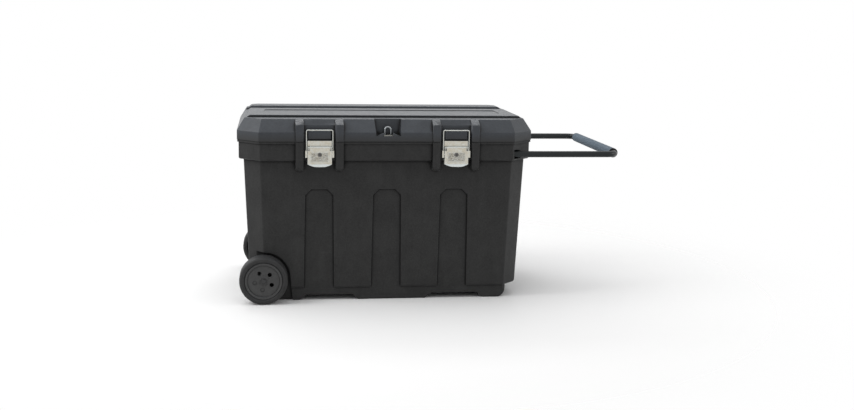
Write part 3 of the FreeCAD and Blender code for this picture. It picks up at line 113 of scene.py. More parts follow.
# Scales of the moulded grain's layers, as shares of its grain or of its mottle
PEBBLE_SCALE = 0.45
SPECKLE_SCALE = 0.3
STREAK_SCALE = 2.5
GLOSS_SCALE = 5.0
# Scratches gather in patches of a scale that is this share of their own
PATCH_SCALE = 0.09

# Most of a noise lies in this span
NOISE_SPAN = (0.3, 0.7)
# Rays that look for edges and corners near a point
NEAR_RAYS = 8
# Dust adds this to the roughness
DUST_ROUGHNESS = 0.4
# The least tarnish as a share of the most, and the roughness of bends as a share of the faces'
LEAST_TARNISH = 0.45
BEND_ROUGHNESS = 0.6


# Settings

def length(name, description, default):
    """A size in metres."""
    return FloatProperty(
        name=name, description=description, default=default, unit="LENGTH", subtype="DISTANCE")


def degrees(name, description, default):
    """An angle whose default is given in degrees."""
    return FloatProperty(name=name, description=description, default=math.radians(default), subtype="ANGLE")


def watts(name, description, default):
    """A lamp's power."""
    return FloatProperty(name=name, description=description, default=default, subtype="POWER")


def count(name, description, default, least=1):
    """A whole number."""
    return IntProperty(name=name, description=description, default=default, min=least)


def colour(name, description, default):
    """A colour in linear light."""
    return FloatVectorProperty(
        name=name, description=description, default=default, subtype="COLOR", min=0, max=1)


class EdgeSettings(bpy.types.PropertyGroup):
    """How far edges are rounded."""

    shell: length("Shell edges", "Rounding of the tub's and the lid's narrow features", 0.0016)
    shell_wide: length("Wide shell edges", "Rounding of outer edges between the shells' wide faces", 0.0045)
    tray: length("Tray edges", "Rounding of the tool tray's edges", 0.0012)
    guide: length("Guide edges", "Rounding of the handle guides' edges", 0.0008)
    steel: length("Steel edges", "Rounding of the stamped latch steel", 0.0003)
    steps: count("Steps", "Faces across a rounded edge", 3)


class WheelSettings(bpy.types.PropertyGroup):
    """The tyre's section."""

    shoulder: length("Shoulder", "Radius between sidewall and tread", 0.009)
    groove_depth: length("Groove depth", "Depth of the grooves round the tread", 0.0016)
    groove_count: count("Grooves", "Grooves round the tread", 3)
    dish_depth: length("Dish depth", "How far the sidewall falls in towards the hub", 0.0045)
    dish_width: length("Dish width", "Width of the sidewall that falls in", 0.005)
    wall_points: count("Sidewall points", "Points up each sidewall", 24, least=4)
    shoulder_steps: count("Shoulder steps", "Faces across each shoulder", 6)
    groove_steps: count("Groove steps", "Faces across the tread for each groove", 24, least=6)
    around: count("Steps round", "Faces round the tyre", 128, least=16)


class GripSettings(bpy.types.PropertyGroup):
    """The foam grip's ribs and ends."""

    rib_pitch: length("Rib pitch", "Distance between two ribs", 0.0058)
    rib_depth: length("Rib depth", "Depth between two ribs", 0.0007)
    end_round: length("End rounding", "Radius of the grip's ends", 0.003)
    # The dark band is painted shade
    end_band: length("End band", "Width of the dark band at the grip's ends", 0.006)
    rib_steps: count("Steps per rib", "Faces along one rib", 6, least=3)
    end_steps: count("End steps", "Faces across each rounded end", 5)
    around: count("Steps round", "Faces round the grip", 48, least=12)


class LatchSettings(bpy.types.PropertyGroup):
    """The stippled field stamped into each lever, inside its raised frame."""

    field_half_width: length("Field half width", "Half the width of the stippled field", 0.0255)
    field_low: length("Field foot", "Height of the field's lower edge above the lever's lip", 0.018)
    field_high: length("Field head", "Height of the field's upper edge above the lever's lip", 0.0433)


class ColourSettings(bpy.types.PropertyGroup):
    """Colours of the finishes."""

    charcoal: colour("Charcoal plastic", "Moulded tub", (0.0255, 0.0255, 0.0255))
    charcoal_pale: colour("Pale charcoal", "Paler flow marks in the tub", (0.0385, 0.0385, 0.0383))
    lid: colour("Lid plastic", "Moulded lid", (0.0385, 0.0425, 0.049))
    lid_pale: colour("Pale lid", "Paler flow marks in the lid", (0.051, 0.0565, 0.065))
    # Painted shade and dirt in corners and along the joint between tub and lid; also the dull patches of the
    # lock plugs and the staple
    shade_and_grime: colour("Grime", "Shade and dirt in corners", (0.003, 0.003, 0.003))
    scuffed: colour("Scuffed plastic", "Rubbed edges and scratches", (0.075, 0.076, 0.078))
    dust: colour("Dust", "Dust on upward faces", (0.185, 0.205, 0.23))
    hub: colour("Hub plastic", "Wheel hubs", (0.061, 0.061, 0.061))
    guide: colour("Guide plastic", "Handle sleeves, sliders and rails", (0.018, 0.018, 0.019))
    tray: colour("Tray plastic", "Tool tray", (0.034, 0.035, 0.037))
    tyre: colour("Tyre rubber", "Tyres", (0.019, 0.019, 0.0192))
    nickel: colour("Nickel", "Plated latches and wire", (0.62, 0.655, 0.65))
    tarnish: colour("Tarnish", "Dull patches in the plating", (0.47, 0.42, 0.32))
    stipple: colour("Stipple", "Dark pits of the stamped field", (0.1, 0.105, 0.11))
    brass: colour("Lock plug", "Plated brass of the lock plugs", (0.2, 0.195, 0.185))
    # The staple is darker than the latches as painted shade: it stands for the dark recess that it reflects
    staple: colour("Staple", "Darker plating of the padlock staple", (0.34, 0.36, 0.37))
    zinc: colour("Zinc", "Axle, pins, washers and screws", (0.5, 0.51, 0.52))
    paint: colour("Tube paint", "Powder coat of the pull handle", (0.011, 0.0135, 0.0145))
    bare_steel: colour("Bare steel", "Steel under chipped paint", (0.3, 0.3, 0.3))
    foam: colour("Foam", "Grip foam", (0.135, 0.185, 0.235))
    # Painted shade between the grip's ribs
    foam_groove_shade: colour("Dark foam", "Grip foam between the ribs", (0.05, 0.07, 0.092))
    # Painted shade on the grip's two ends
    foam_end_shade: colour("Foam ends", "Sealed ends of the grip", (0.008, 0.009, 0.01))


class StageSettings(bpy.types.PropertyGroup):
    """Camera, lamps and floor."""

    camera_place: FloatVectorProperty(
        name="Camera place", description="Where the camera stands", default=(-0.3615, -3.801, 0.9232),
        unit="LENGTH", subtype="TRANSLATION")
    camera_yaw: degrees("Yaw", "Turn of the camera to the right", 7.876)
    camera_pitch: degrees("Pitch", "Tilt of the camera downwards", 9.721)
    camera_roll: degrees("Roll", "Roll of the camera", 0.966)
    floor_colour: colour("Floor", "Pale floor", (0.95, 0.95, 0.95))
    floor_reach: length("Floor reach", "Half the floor's side", 6.0)
    fade_start: length("Fade start", "How far from the middle the floor starts to fade", 0.48)
    fade_end: length("Fade end", "How far from the middle the floor has faded into the surround", 1.8)
    ambient: FloatProperty(name="Ambient", description="Light from all round", default=0.5, min=0)
    overhead: watts("Overhead", "Power of the overhead lamp", 30.0)
    back: watts("Back", "Power of the lamp above the back", 18.0)
    left: watts("Left", "Power of the lamp on the left", 29.0)
    right: watts("Right", "Power of the lamp on the right", 11.0)


# Meshes

def new_object(name, mesh, material):
    """A new object at the origin that shows a mesh in one material."""
    piece = bpy.data.objects.new(name, mesh)
    bpy.context.scene.collection.objects.link(piece)
    mesh.materials.clear()
    mesh.materials.append(material)
    return piece


def stand_for(piece, node):
    """The piece takes a CAD node's place on the node's body."""
    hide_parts(node)
    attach(piece, BODY_OF[node])


def dress(material, *nodes):
    """CAD nodes whose shape is right only get a material."""
    for node in nodes:
        for slot in frame["nodes"][node].material_slots:
            slot.link = "OBJECT"
            slot.material = material


def edge_room(work):
    """How far each edge is from the other corners of its two faces, and from the sides that its ends face.

    On each face, every corner's distance to every side that it doesn't bound limits that side and the two
    sides that meet in the corner.
    """
    room = np.full(len(work.edges), np.inf)
    for face in work.faces:
        sides = np.array([loop.edge.index for loop in face.loops])
        start = np.array([loop.vert.co for loop in face.loops])
        run = np.roll(start, -1, axis=0) - start
        reach = start[None, :] - start[:, None]
        share = np.einsum("ijk,ik->ij", reach, run) / np.einsum("ik,ik->i", run, run)[:, None]
        gap = np.linalg.norm(reach - np.clip(share, 0, 1)[:, :, None] * run[:, None], axis=2)
        corner = np.arange(len(sides))
        gap[corner, corner] = np.inf
        gap[corner, (corner + 1) % len(sides)] = np.inf
        near = gap.min(axis=0)
        limit = np.minimum(gap.min(axis=1), np.minimum(near, np.roll(near, -1)))
        room[sides] = np.minimum(room[sides], limit)
    return room


def edge_rounding(work, width, wide):
    """Each edge's rounding, and whether it stays sharp.

    Flat edges get none, and the others get the width, or less where their faces leave little room. Outer
    edges between two wide faces get the wide rounding.
    """
    work.edges.index_update()
    angle = np.array([edge.calc_face_angle(0.0) for edge in work.edges])
    outer = np.array([edge.is_convex for edge in work.edges])
    room = edge_room(work) / ROOM_PER_WIDTH
    rounding = np.minimum(room, width)
    rounding[rounding < LEAST_SHARE * width] = 0
    rounding[outer & (room > wide)] = wide
    rounding[angle < SHARP_ANGLE] = 0
    return rounding, (angle > SHARP_ANGLE) & (rounding == 0)


def soft_copy(name, node, material, width, steps, wide=0.0):
    """A copy of a CAD node with merged points, joined flat faces and rounded edges, in the node's place."""
    wide = max(wide, width)
    work = bmesh.new()
    work.from_mesh(frame["nodes"][node].data)
    bmesh.ops.remove_doubles(work, verts=work.verts, dist=MERGE_DISTANCE)
    bmesh.ops.dissolve_limit(work, angle_limit=FLAT_ANGLE, verts=work.verts, edges=work.edges)
    rounding, sharp = edge_rounding(work, width, wide)
    mesh = bpy.data.meshes.new(name)
    work.to_mesh(mesh)
    work.free()
    weight = (rounding / wide).astype(np.float32)
    mesh.attributes.new("bevel_weight_edge", "FLOAT", "EDGE").data.foreach_set("value", weight)
    mesh.attributes.new("sharp_edge", "BOOLEAN", "EDGE").data.foreach_set("value", sharp)
    mesh.polygons.foreach_set("use_smooth", np.ones(len(mesh.polygons), dtype=bool))
    piece = new_object(name, mesh, material)
    bevel = piece.modifiers.new("Rounded edges", "BEVEL")
    bevel.limit_method = "WEIGHT"
    bevel.width = wide
    bevel.segments = steps
    bevel.use_clamp_overlap = False
    normals = piece.modifiers.new("Flat faces stay flat", "WEIGHTED_NORMAL")
    normals.keep_sharp = True
    stand_for(piece, node)


def arc(centre, radius, start, end, steps):
    """Points of an arc: the centre plus the radius turned from the start angle to the end angle."""
    angle = np.radians(np.linspace(start, end, steps + 1))
    return np.stack([centre[0] + radius * np.cos(angle), centre[1] + radius * np.sin(angle)], axis=1)


def revolve(name, profile, axle, around, material):
    """A closed profile of (place along Y, radius) carried round an axle parallel to Y.

    Each point of the profile becomes a ring: x and z are the axle's plus the radius times cosine and sine of
    the turn, and y is the profile's own.
    """
    turn = np.linspace(0, FULL_TURN, around, endpoint=False)
    along = np.repeat(profile[:, :1], around, axis=1)
    x = axle[0] + profile[:, 1:] * np.cos(turn)
    z = axle[1] + profile[:, 1:] * np.sin(turn)
    points = np.stack([x, along, z], axis=2)
    return new_object(name, closed_grid(name, points), material)


def closed_grid(name, points):
    """A mesh of quads over a grid of points that closes on itself both ways, turned to face outwards.

    Each quad's place from the middle dotted with its normal adds up to less than nothing where the mesh is
    inside out.
    """
    rows, columns = points.shape[:2]
    index = np.arange(rows * columns).reshape(rows, columns)
    beside = np.roll(index, -1, axis=1)
    quads = np.stack([index, beside, np.roll(beside, -1, axis=0), np.roll(index, -1, axis=0)], axis=2)
    quads = quads.reshape(-1, 4)
    flat = points.reshape(-1, 3)
    a, b, c, d = (flat[quads[:, corner]] for corner in range(4))
    volume = np.einsum("ij,ij->", a - flat.mean(axis=0), np.cross(c - a, d - b))
    if volume < 0:
        quads = quads[:, ::-1]
    mesh = bpy.data.meshes.new(name)
    mesh.from_pydata(flat.tolist(), [], quads.tolist())
    mesh.polygons.foreach_set("use_smooth", np.ones(len(mesh.polygons), dtype=bool))
    return mesh


def round_axle(low, high):
    """The axle's x and z in the middle of a round piece's box, and the piece's radius."""
    return ((low[0] + high[0]) / 2, (low[2] + high[2]) / 2), (high[2] - low[2]) / 2


# Shader nodes

class Shader:
    """Adds nodes to one node tree, with values set and sockets linked."""

    def __init__(self, tree):
        self.tree = tree

    def feed(self, socket, value):
        """Link a socket to the one that feeds it, or set its value."""
        if isinstance(value, bpy.types.NodeSocket):
            self.tree.links.new(value, socket)
        else:
            socket.default_value = value

    def node(self, kind, inputs=None, **settings):
        """One node with its settings and inputs."""
        made = self.tree.nodes.new(kind)
        for name, value in settings.items():
            setattr(made, name, value)
        for name, value in (inputs or {}).items():
            self.feed(made.inputs[name], value)
        return made

    def math(self, operation, first, second=0.0, clamp=True):
        """Two numbers worked into one, kept between 0 and 1 if clamped."""
        inputs = {0: first, 1: second}
        return self.node("ShaderNodeMath", inputs, operation=operation, use_clamp=clamp).outputs[0]

    def product(self, first, *others):
        """The product of masks."""
        for other in others:
            first = self.math("MULTIPLY", first, other)
        return first

    def scaled(self, first, second):
        """The product of two numbers of any size."""
        return self.math("MULTIPLY", first, second, clamp=False)

    def weighed(self, first, second, share):
        """Two masks added, the first by its share and the second by the rest."""
        return self.math("ADD", self.product(first, share), self.product(second, 1 - share))

    def unsigned(self, value):
        """A number without its sign."""
        return self.math("ABSOLUTE", value, clamp=False)

    def apart(self, first, second):
        """How far apart two numbers are."""
        return self.unsigned(self.math("SUBTRACT", first, second, clamp=False))

    def ramp(self, value, low, high, to_low=0.0, to_high=1.0):
        """A number carried from one span to another, held at the ends."""
        names = ("Value", "From Min", "From Max", "To Min", "To Max")
        inputs = dict(zip(names, (value, low, high, to_low, to_high)))
        return self.node("ShaderNodeMapRange", inputs).outputs[0]

    def spread(self, noise, span):
        """Noise carried to a span of its own."""
        return self.ramp(noise, *NOISE_SPAN, *span)

    def mix(self, share, first, second):
        """Two colours mixed."""
        return self.node("ShaderNodeMix", {0: share, 6: first, 7: second}, data_type="RGBA").outputs[2]

    def surface(self, source):
        """The object's coordinates or its normal."""
        return self.node("ShaderNodeTexCoord").outputs[source]

    def axis(self, source, name):
        """One axis of the object's coordinates or of its normal."""
        return self.node("ShaderNodeSeparateXYZ", {0: self.surface(source)}).outputs[name]

    def noise(self, scale, detail=3.0, roughness=0.55, distortion=0.0, stretch=None, turn=(0, 0, 0)):
        """Noise on object coordinates, which a stretch squeezes along each axis."""
        place = self.surface("Object")
        if stretch:
            mapping = {"Vector": place, "Scale": stretch, "Rotation": turn}
            place = self.node("ShaderNodeMapping", mapping).outputs[0]
        names = ("Vector", "Scale", "Detail", "Roughness", "Distortion")
        inputs = dict(zip(names, (place, scale, detail, roughness, distortion)))
        return self.node("ShaderNodeTexNoise", inputs).outputs[0]

    def near_shade(self, distance, inside=False):
        """How open the surroundings are, by short rays that leave the surface or go into the solid."""
        return self.node("ShaderNodeAmbientOcclusion", {"Distance": distance}, samples=NEAR_RAYS,
                         inside=inside, only_local=True).outputs["AO"]

    def use(self, maker, **inputs):
        """A shared effect with its own values."""
        made = self.node("ShaderNodeGroup", node_tree=effect(maker))
        for name, value in inputs.items():
            self.feed(made.inputs[name.capitalize()], value)
        return made.outputs


# Shared effects

def shared_effect(name, inputs, outputs):
    """A node group with number inputs and outputs, the means to fill it, and its own two ends."""
    group = bpy.data.node_groups.new(name, "ShaderNodeTree")
    for socket_name, default in inputs.items():
        socket = group.interface.new_socket(socket_name, in_out="INPUT", socket_type="NodeSocketFloat")
        socket.default_value = default
    for socket_name in outputs:
        group.interface.new_socket(socket_name, in_out="OUTPUT", socket_type="NodeSocketFloat")
    shader = Shader(group)
    given = shader.node("NodeGroupInput").outputs
    result = shader.node("NodeGroupOutput").inputs
    return group, shader, given, result


def moulded_grain():
    """Fine pebbled grain and broad flow marks of moulded plastic."""
    group, shader, given, result = shared_effect(
        "Moulded grain", {"Grain": 700.0, "Mottle": 16.0}, ("Height", "Tone", "Gloss"))
    fine = shader.noise(given["Grain"], detail=2.0, roughness=0.6)
    pebbles = shader.noise(shader.scaled(given["Grain"], PEBBLE_SCALE), detail=1.0, roughness=0.4)
    shader.feed(result["Height"], shader.weighed(fine, pebbles, share=0.4))
    broad = shader.noise(given["Mottle"], detail=5.0, distortion=0.6)
    streak_scale = shader.scaled(given["Mottle"], STREAK_SCALE)
    streaks = shader.noise(streak_scale, detail=4.0, roughness=0.6, distortion=0.3, stretch=(1, 1, 0.22))
    speckle = shader.noise(shader.scaled(given["Grain"], SPECKLE_SCALE), roughness=0.7)
    tone = shader.weighed(shader.weighed(broad, streaks, share=0.6), speckle, share=0.55)
    shader.feed(result["Tone"], shader.ramp(tone, low=0.38, high=0.62))
    gloss = shader.noise(shader.scaled(given["Mottle"], GLOSS_SCALE), detail=4.0, roughness=0.65)
    shader.feed(result["Gloss"], gloss)
    return group


def edge_wear():
    """Rubbed outer edges, broken up by noise: near an edge, short rays into the solid meet other faces."""
    group, shader, given, result = shared_effect(
        "Edge wear", {"Radius": 0.003, "Breakup": 55.0, "Amount": 0.5}, ("Mask",))
    edge = shader.ramp(shader.near_shade(given["Radius"], inside=True), low=0.95, high=0.55)
    patches = shader.ramp(shader.noise(given["Breakup"], detail=4.0, roughness=0.65), low=0.4, high=0.7)
    shader.feed(result["Mask"], shader.product(edge, patches, given["Amount"]))
    return group


def crevice_shade_and_dirt():
    """Painted shade and dirt in corners, where short rays off the surface meet the same piece again."""
    group, shader, given, result = shared_effect("Crevices", {"Reach": 0.016, "Amount": 0.95}, ("Mask",))
    shaded = shader.ramp(shader.near_shade(given["Reach"]), low=0.88, high=0.62)
    shader.feed(result["Mask"], shader.product(shaded, given["Amount"]))
    return group


def seam_shade():
    """Painted shade along a level joint, on faces that look sideways: it fades with the distance from the
    joint.
    """
    group, shader, given, result = shared_effect(
        "Seam dirt", {"Height": SEAM_HEIGHT, "Width": 0.0022, "Amount": SEAM_SHADE}, ("Mask",))
    off = shader.apart(shader.axis("Object", "Z"), given["Height"])
    near = shader.ramp(off, low=given["Width"], high=0.0)
    sideways = shader.ramp(shader.unsigned(shader.axis("Normal", "Z")), low=0.95, high=0.7)
    shader.feed(result["Mask"], shader.product(near, sideways, given["Amount"]))
    return group


def settled_dust():
    """Dust on faces that look up, in uneven patches."""
    group, shader, given, result = shared_effect("Settled dust", {"Scale": 22.0, "Amount": 0.3}, ("Mask",))
    upward = shader.ramp(shader.axis("Normal", "Z"), low=0.3, high=0.95)
    patches = shader.ramp(shader.noise(given["Scale"], detail=6.0, roughness=0.7), low=0.35, high=0.75)
    shader.feed(result["Mask"], shader.product(upward, patches, given["Amount"]))
    return group


def scratches():
    """Thin slanting scratches in scattered patches."""
    group, shader, given, result = shared_effect("Scratches", {"Scale": 90.0, "Amount": 0.4}, ("Mask",))
    thin = {"scale": given["Scale"], "detail": 2.0, "roughness": 0.5}
    one_way = shader.noise(**thin, stretch=(1.0, 1.0, 0.05), turn=(0.3, 0.5, 0.2))
    other_way = shader.noise(**thin, stretch=(0.06, 1.0, 1.0), turn=(0.2, -0.25, 0.4))
    lines = shader.ramp(shader.math("MAXIMUM", one_way, other_way), low=0.69, high=0.74)
    patches = shader.ramp(shader.noise(shader.scaled(given["Scale"], PATCH_SCALE)), low=0.5, high=0.66)
    shader.feed(result["Mask"], shader.product(lines, patches, given["Amount"]))
    return group


def rolled_steel():
    """Fine rolling lines and cloudy patches of plated sheet steel."""
    group, shader, given, result = shared_effect(
        "Rolled steel", {"Lines": 900.0, "Clouds": 120.0}, ("Height", "Tone", "Gloss"))
    lines = shader.noise(given["Lines"], detail=2.0, roughness=0.6, stretch=(0.04, 1, 1))
    clouds = shader.noise(given["Clouds"], detail=5.0, roughness=0.6, distortion=0.4)
    shader.feed(result["Height"], lines)
    shader.feed(result["Tone"], shader.ramp(clouds, low=0.35, high=0.68))
    shader.feed(result["Gloss"], shader.weighed(lines, clouds, share=0.4))
    return group


def bend_highlight_and_polish():
    """Bends and edges of sheet metal, where the surface turns away from the front and the back: the mask for
    a painted highlight on the bends and for their smoother finish.
    """
    group, shader, _, result = shared_effect("Bent metal", {}, ("Mask",))
    facing = shader.unsigned(shader.axis("Normal", "Y"))
    shader.feed(result["Mask"], shader.ramp(facing, low=0.99, high=0.85))
    return group


EFFECTS = {}


def effect(maker):
    """A shared effect's node group, built the first time it is asked for."""
    if maker.__name__ not in EFFECTS:
        EFFECTS[maker.__name__] = maker()
    return EFFECTS[maker.__name__]


# Finishes

def opaque(value):
    """A colour setting as a colour with full alpha."""
    return (*value, 1.0)


def toned(value, share):
    """A colour made brighter or darker by a share."""
    return [min(1.0, share * part) for part in value]


def start_material(name):
    """A new material, and the means to add nodes to its tree."""
    material = bpy.data.materials.new(name)
    material.use_nodes = True
    return material, Shader(material.node_tree)


def finish_material(material, base, roughness, height, bump, depth, **plain):
    """Feed a material's Principled BSDF: what varies is linked, and plain values are set on its sockets."""
    shader = Shader(material.node_tree)
    relief = shader.node("ShaderNodeBump", {"Height": height, "Strength": bump, "Distance": depth})
    skin = material.node_tree.nodes["Principled BSDF"]
    inputs = {"Base Color": base, "Roughness": roughness, "Normal": relief.outputs[0]}
    inputs.update({key.replace("_", " "): value for key, value in plain.items()})
    for key, value in inputs.items():
        shader.feed(skin.inputs[key], value)
    return material


def plastic(name, body, pale, colours, grain=700.0, mottle=16.0, wear=0.5, dust=0.2, scratch=0.1,
            rough=(0.4, 0.52), specular=0.14, shaded_seam=False, foot=None):
    """Moulded plastic: flow marks, rubbed edges, scratches and dust over a pebbled grain, and painted shade
    and dirt in corners.

    A shell with a shaded seam gets painted shade along the joint, and one with a foot colour fades to it
    towards the joint.
    """
    material, shader = start_material(name)
    skin = shader.use(moulded_grain, grain=grain, mottle=mottle)
    base = shader.mix(skin["Tone"], opaque(body), opaque(pale))
    if foot:
        above = shader.ramp(shader.axis("Object", "Z"), low=SEAM_HEIGHT, high=SEAM_HEIGHT + FADE_HEIGHT)
        base = shader.mix(above, opaque(foot), base)
    rubbed = shader.use(edge_wear, amount=wear)["Mask"]
    marks = shader.use(scratches, amount=scratch)["Mask"]
    base = shader.mix(shader.math("MAXIMUM", rubbed, marks), base, opaque(colours.scuffed))
    dusty = shader.use(settled_dust, amount=dust)["Mask"]
    base = shader.mix(dusty, base, opaque(colours.dust))
    # Painted shade and dirt in corners
    shade_and_dirt = shader.use(crevice_shade_and_dirt)["Mask"]
    # Painted shade along the joint between tub and lid
    if shaded_seam:
        shade_and_dirt = shader.math("MAXIMUM", shade_and_dirt, shader.use(seam_shade)["Mask"])
    base = shader.mix(shade_and_dirt, base, opaque(colours.shade_and_grime))
    roughness = shader.spread(skin["Gloss"], rough)
    roughness = shader.math("ADD", roughness, shader.product(dusty, DUST_ROUGHNESS))
    return finish_material(
        material, base, roughness, skin["Height"], bump=0.5, depth=0.0009, Specular_IOR_Level=specular)


def stamped_field(shader, latch):
    """Pits inside a rectangle in the middle of either lever: the two stand equally far left and right."""
    low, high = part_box("latch_lever_right")
    across = shader.unsigned(shader.axis("Object", "X"))
    aside = shader.apart(across, (low[0] + high[0]) / 2)
    up = shader.axis("Object", "Z")
    inside = shader.product(
        shader.math("LESS_THAN", aside, latch.field_half_width),
        shader.math("GREATER_THAN", up, low[2] + latch.field_low),
        shader.math("LESS_THAN", up, low[2] + latch.field_high),
    )
    pits = shader.noise(scale=330.0, roughness=0.7)
    return shader.product(inside, shader.ramp(pits, low=0.42, high=0.62, to_low=0.1, to_high=0.8))


def plated_steel(name, bright, dull, colours, tarnish=0.9, rough=(0.24, 0.46), latch=None):
    """Plated steel: cloudy tarnish and fine rolling lines on faces, untarnished bends that are a painted
    highlight as well as polished, and rubbed edges with a painted glint.
    """
    material, shader = start_material(name)
    sheet = shader.use(rolled_steel)
    bends = shader.use(bend_highlight_and_polish)["Mask"]
    # Tarnish only on faces that look front and back: the bends stay bright as a painted highlight
    clouds = shader.ramp(sheet["Tone"], low=0.0, high=1.0, to_low=LEAST_TARNISH * tarnish, to_high=tarnish)
    flats = shader.math("SUBTRACT", 1.0, bends)
    base = shader.mix(shader.product(clouds, flats), opaque(bright), opaque(dull))
    if latch:
        base = shader.mix(stamped_field(shader, latch), base, opaque(colours.stipple))
    # Rubbed edges brighter than clean plate: wear with a painted glint
    rubbed = shader.use(edge_wear, radius=0.0012, breakup=160.0, amount=0.85)["Mask"]
    base = shader.mix(rubbed, base, opaque(toned(bright, PLATE_EDGE_GLINT)))
    # Painted shade and dirt in corners
    shade_and_dirt = shader.use(crevice_shade_and_dirt, reach=0.003, amount=0.75)["Mask"]
    base = shader.mix(shade_and_dirt, base, opaque(colours.shade_and_grime))
    polish = shader.ramp(bends, low=0.0, high=1.0, to_low=1.0, to_high=BEND_ROUGHNESS)
    roughness = shader.product(shader.spread(sheet["Gloss"], rough), polish)
    return finish_material(material, base, roughness, sheet["Height"], bump=0.12, depth=0.0002, Metallic=1.0)


def tyre_rubber(colours, rough=(0.5, 0.64)):
    """Matt rubber with dust worked into its grain and a rubbed tread."""
    material, shader = start_material("tyre rubber")
    skin = shader.use(moulded_grain, grain=520.0, mottle=24.0)
    base = shader.mix(skin["Tone"], opaque(colours.tyre), opaque(toned(colours.tyre, PALE_TYRE)))
    dusty = shader.use(settled_dust, scale=40.0, amount=0.12)["Mask"]
    rubbed = shader.use(edge_wear, radius=0.004, breakup=90.0, amount=0.16)["Mask"]
    base = shader.mix(shader.math("MAXIMUM", dusty, rubbed), base, opaque(colours.dust))
    # Painted shade and dirt in corners
    base = shader.mix(shader.use(crevice_shade_and_dirt)["Mask"], base, opaque(colours.shade_and_grime))
    roughness = shader.spread(skin["Gloss"], rough)
    return finish_material(
        material, base, roughness, skin["Height"], bump=0.4, depth=0.0006, Specular_IOR_Level=0.3)


def tube_paint(colours, rough=(0.26, 0.38)):
    """Satin powder coat with an orange-peel skin, scratched to bare steel here and there."""
    material, shader = start_material("powder coat")
    skin = shader.use(moulded_grain, grain=330.0, mottle=30.0)
    base = shader.mix(skin["Tone"], opaque(colours.paint), opaque(toned(colours.paint, PALE_PAINT)))
    chips = shader.use(scratches, scale=70.0, amount=0.5)["Mask"]
    base = shader.mix(chips, base, opaque(colours.bare_steel))
    roughness = shader.spread(skin["Gloss"], rough)
    return finish_material(
        material, base, roughness, skin["Height"], bump=0.15, depth=0.0003, Metallic=chips,
        Specular_IOR_Level=0.25)


def grip_foam(colours, grip, rough=(0.72, 0.86)):
    """Closed-cell foam: fine pores, painted shade between the ribs and at the two ends, with dust on top."""
    material, shader = start_material("grip foam")
    along = shader.axis("Object", "Y")
    # Painted shade between the ribs: the foam is darker away from each rib's crown
    wave = shader.math("COSINE", shader.scaled(along, FULL_TURN / grip.rib_pitch), clamp=False)
    crown = shader.ramp(wave, low=-1.0, high=1.0)
    cloudy = shader.noise(scale=60.0, detail=4.0, roughness=0.6)
    tone = shader.weighed(crown, cloudy, share=0.6)
    base = shader.mix(tone, opaque(colours.foam_groove_shade), opaque(colours.foam))
    dusty = shader.use(settled_dust, scale=70.0, amount=0.3)["Mask"]
    base = shader.mix(dusty, base, opaque(colours.dust))
    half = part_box("handle_grip")[1][1]
    # Painted shade over the last stretch of each end
    ends = shader.ramp(shader.unsigned(along), low=half - grip.end_band, high=half - grip.end_band / 2)
    base = shader.mix(ends, base, opaque(colours.foam_end_shade))
    roughness = shader.spread(cloudy, rough)
    cells = {"Vector": shader.surface("Object"), "Scale": 1100.0}
    pores = shader.node("ShaderNodeTexVoronoi", cells).outputs["Distance"]
    return finish_material(
        material, base, roughness, pores, bump=0.35, depth=0.0004, Sheen_Weight=0.15, Specular_IOR_Level=0.3)


# Operators

class STORAGE_OT_tub(bpy.types.Operator):
    """Dress the tub as one charcoal moulding with rounded edges"""

    bl_idname = "storage_box.tub"
    bl_label = "Tub"

    def execute(self, context):
        colours = context.scene.storage_colours
        edges = context.scene.storage_edges
        skin = plastic("tub plastic", colours.charcoal, colours.charcoal_pale, colours, shaded_seam=True)
        soft_copy("tub_moulding", "tub", skin, edges.shell, edges.steps, edges.shell_wide)
        return {"FINISHED"}


class STORAGE_OT_lid(bpy.types.Operator):
    """Dress the lid as a paler and glossier moulding that fades into the tub's colour towards the joint"""

    bl_idname = "storage_box.lid"
    bl_label = "Lid"

    def execute(self, context):
        colours = context.scene.storage_colours
        edges = context.scene.storage_edges
        skin = plastic(
            "lid plastic", colours.lid, colours.lid_pale, colours, rough=(0.3, 0.42), specular=0.28,
            shaded_seam=True, foot=toned(colours.charcoal, LID_FOOT))
        soft_copy("lid_moulding", "lid", skin, edges.shell, edges.steps, edges.shell_wide)
        return {"FINISHED"}


class STORAGE_OT_tray(bpy.types.Operator):
    """Dress the tool tray as a softer grey moulding"""

    bl_idname = "storage_box.tray"
    bl_label = "Tool tray"

    def execute(self, context):
        colours = context.scene.storage_colours
        edges = context.scene.storage_edges
        pale = toned(colours.tray, PALE_TRAY)
        skin = plastic("tray plastic", colours.tray, pale, colours, mottle=22.0, dust=0.15)
        soft_copy("tray_moulding", "tool_tray", skin, edges.tray, edges.steps)
        return {"FINISHED"}


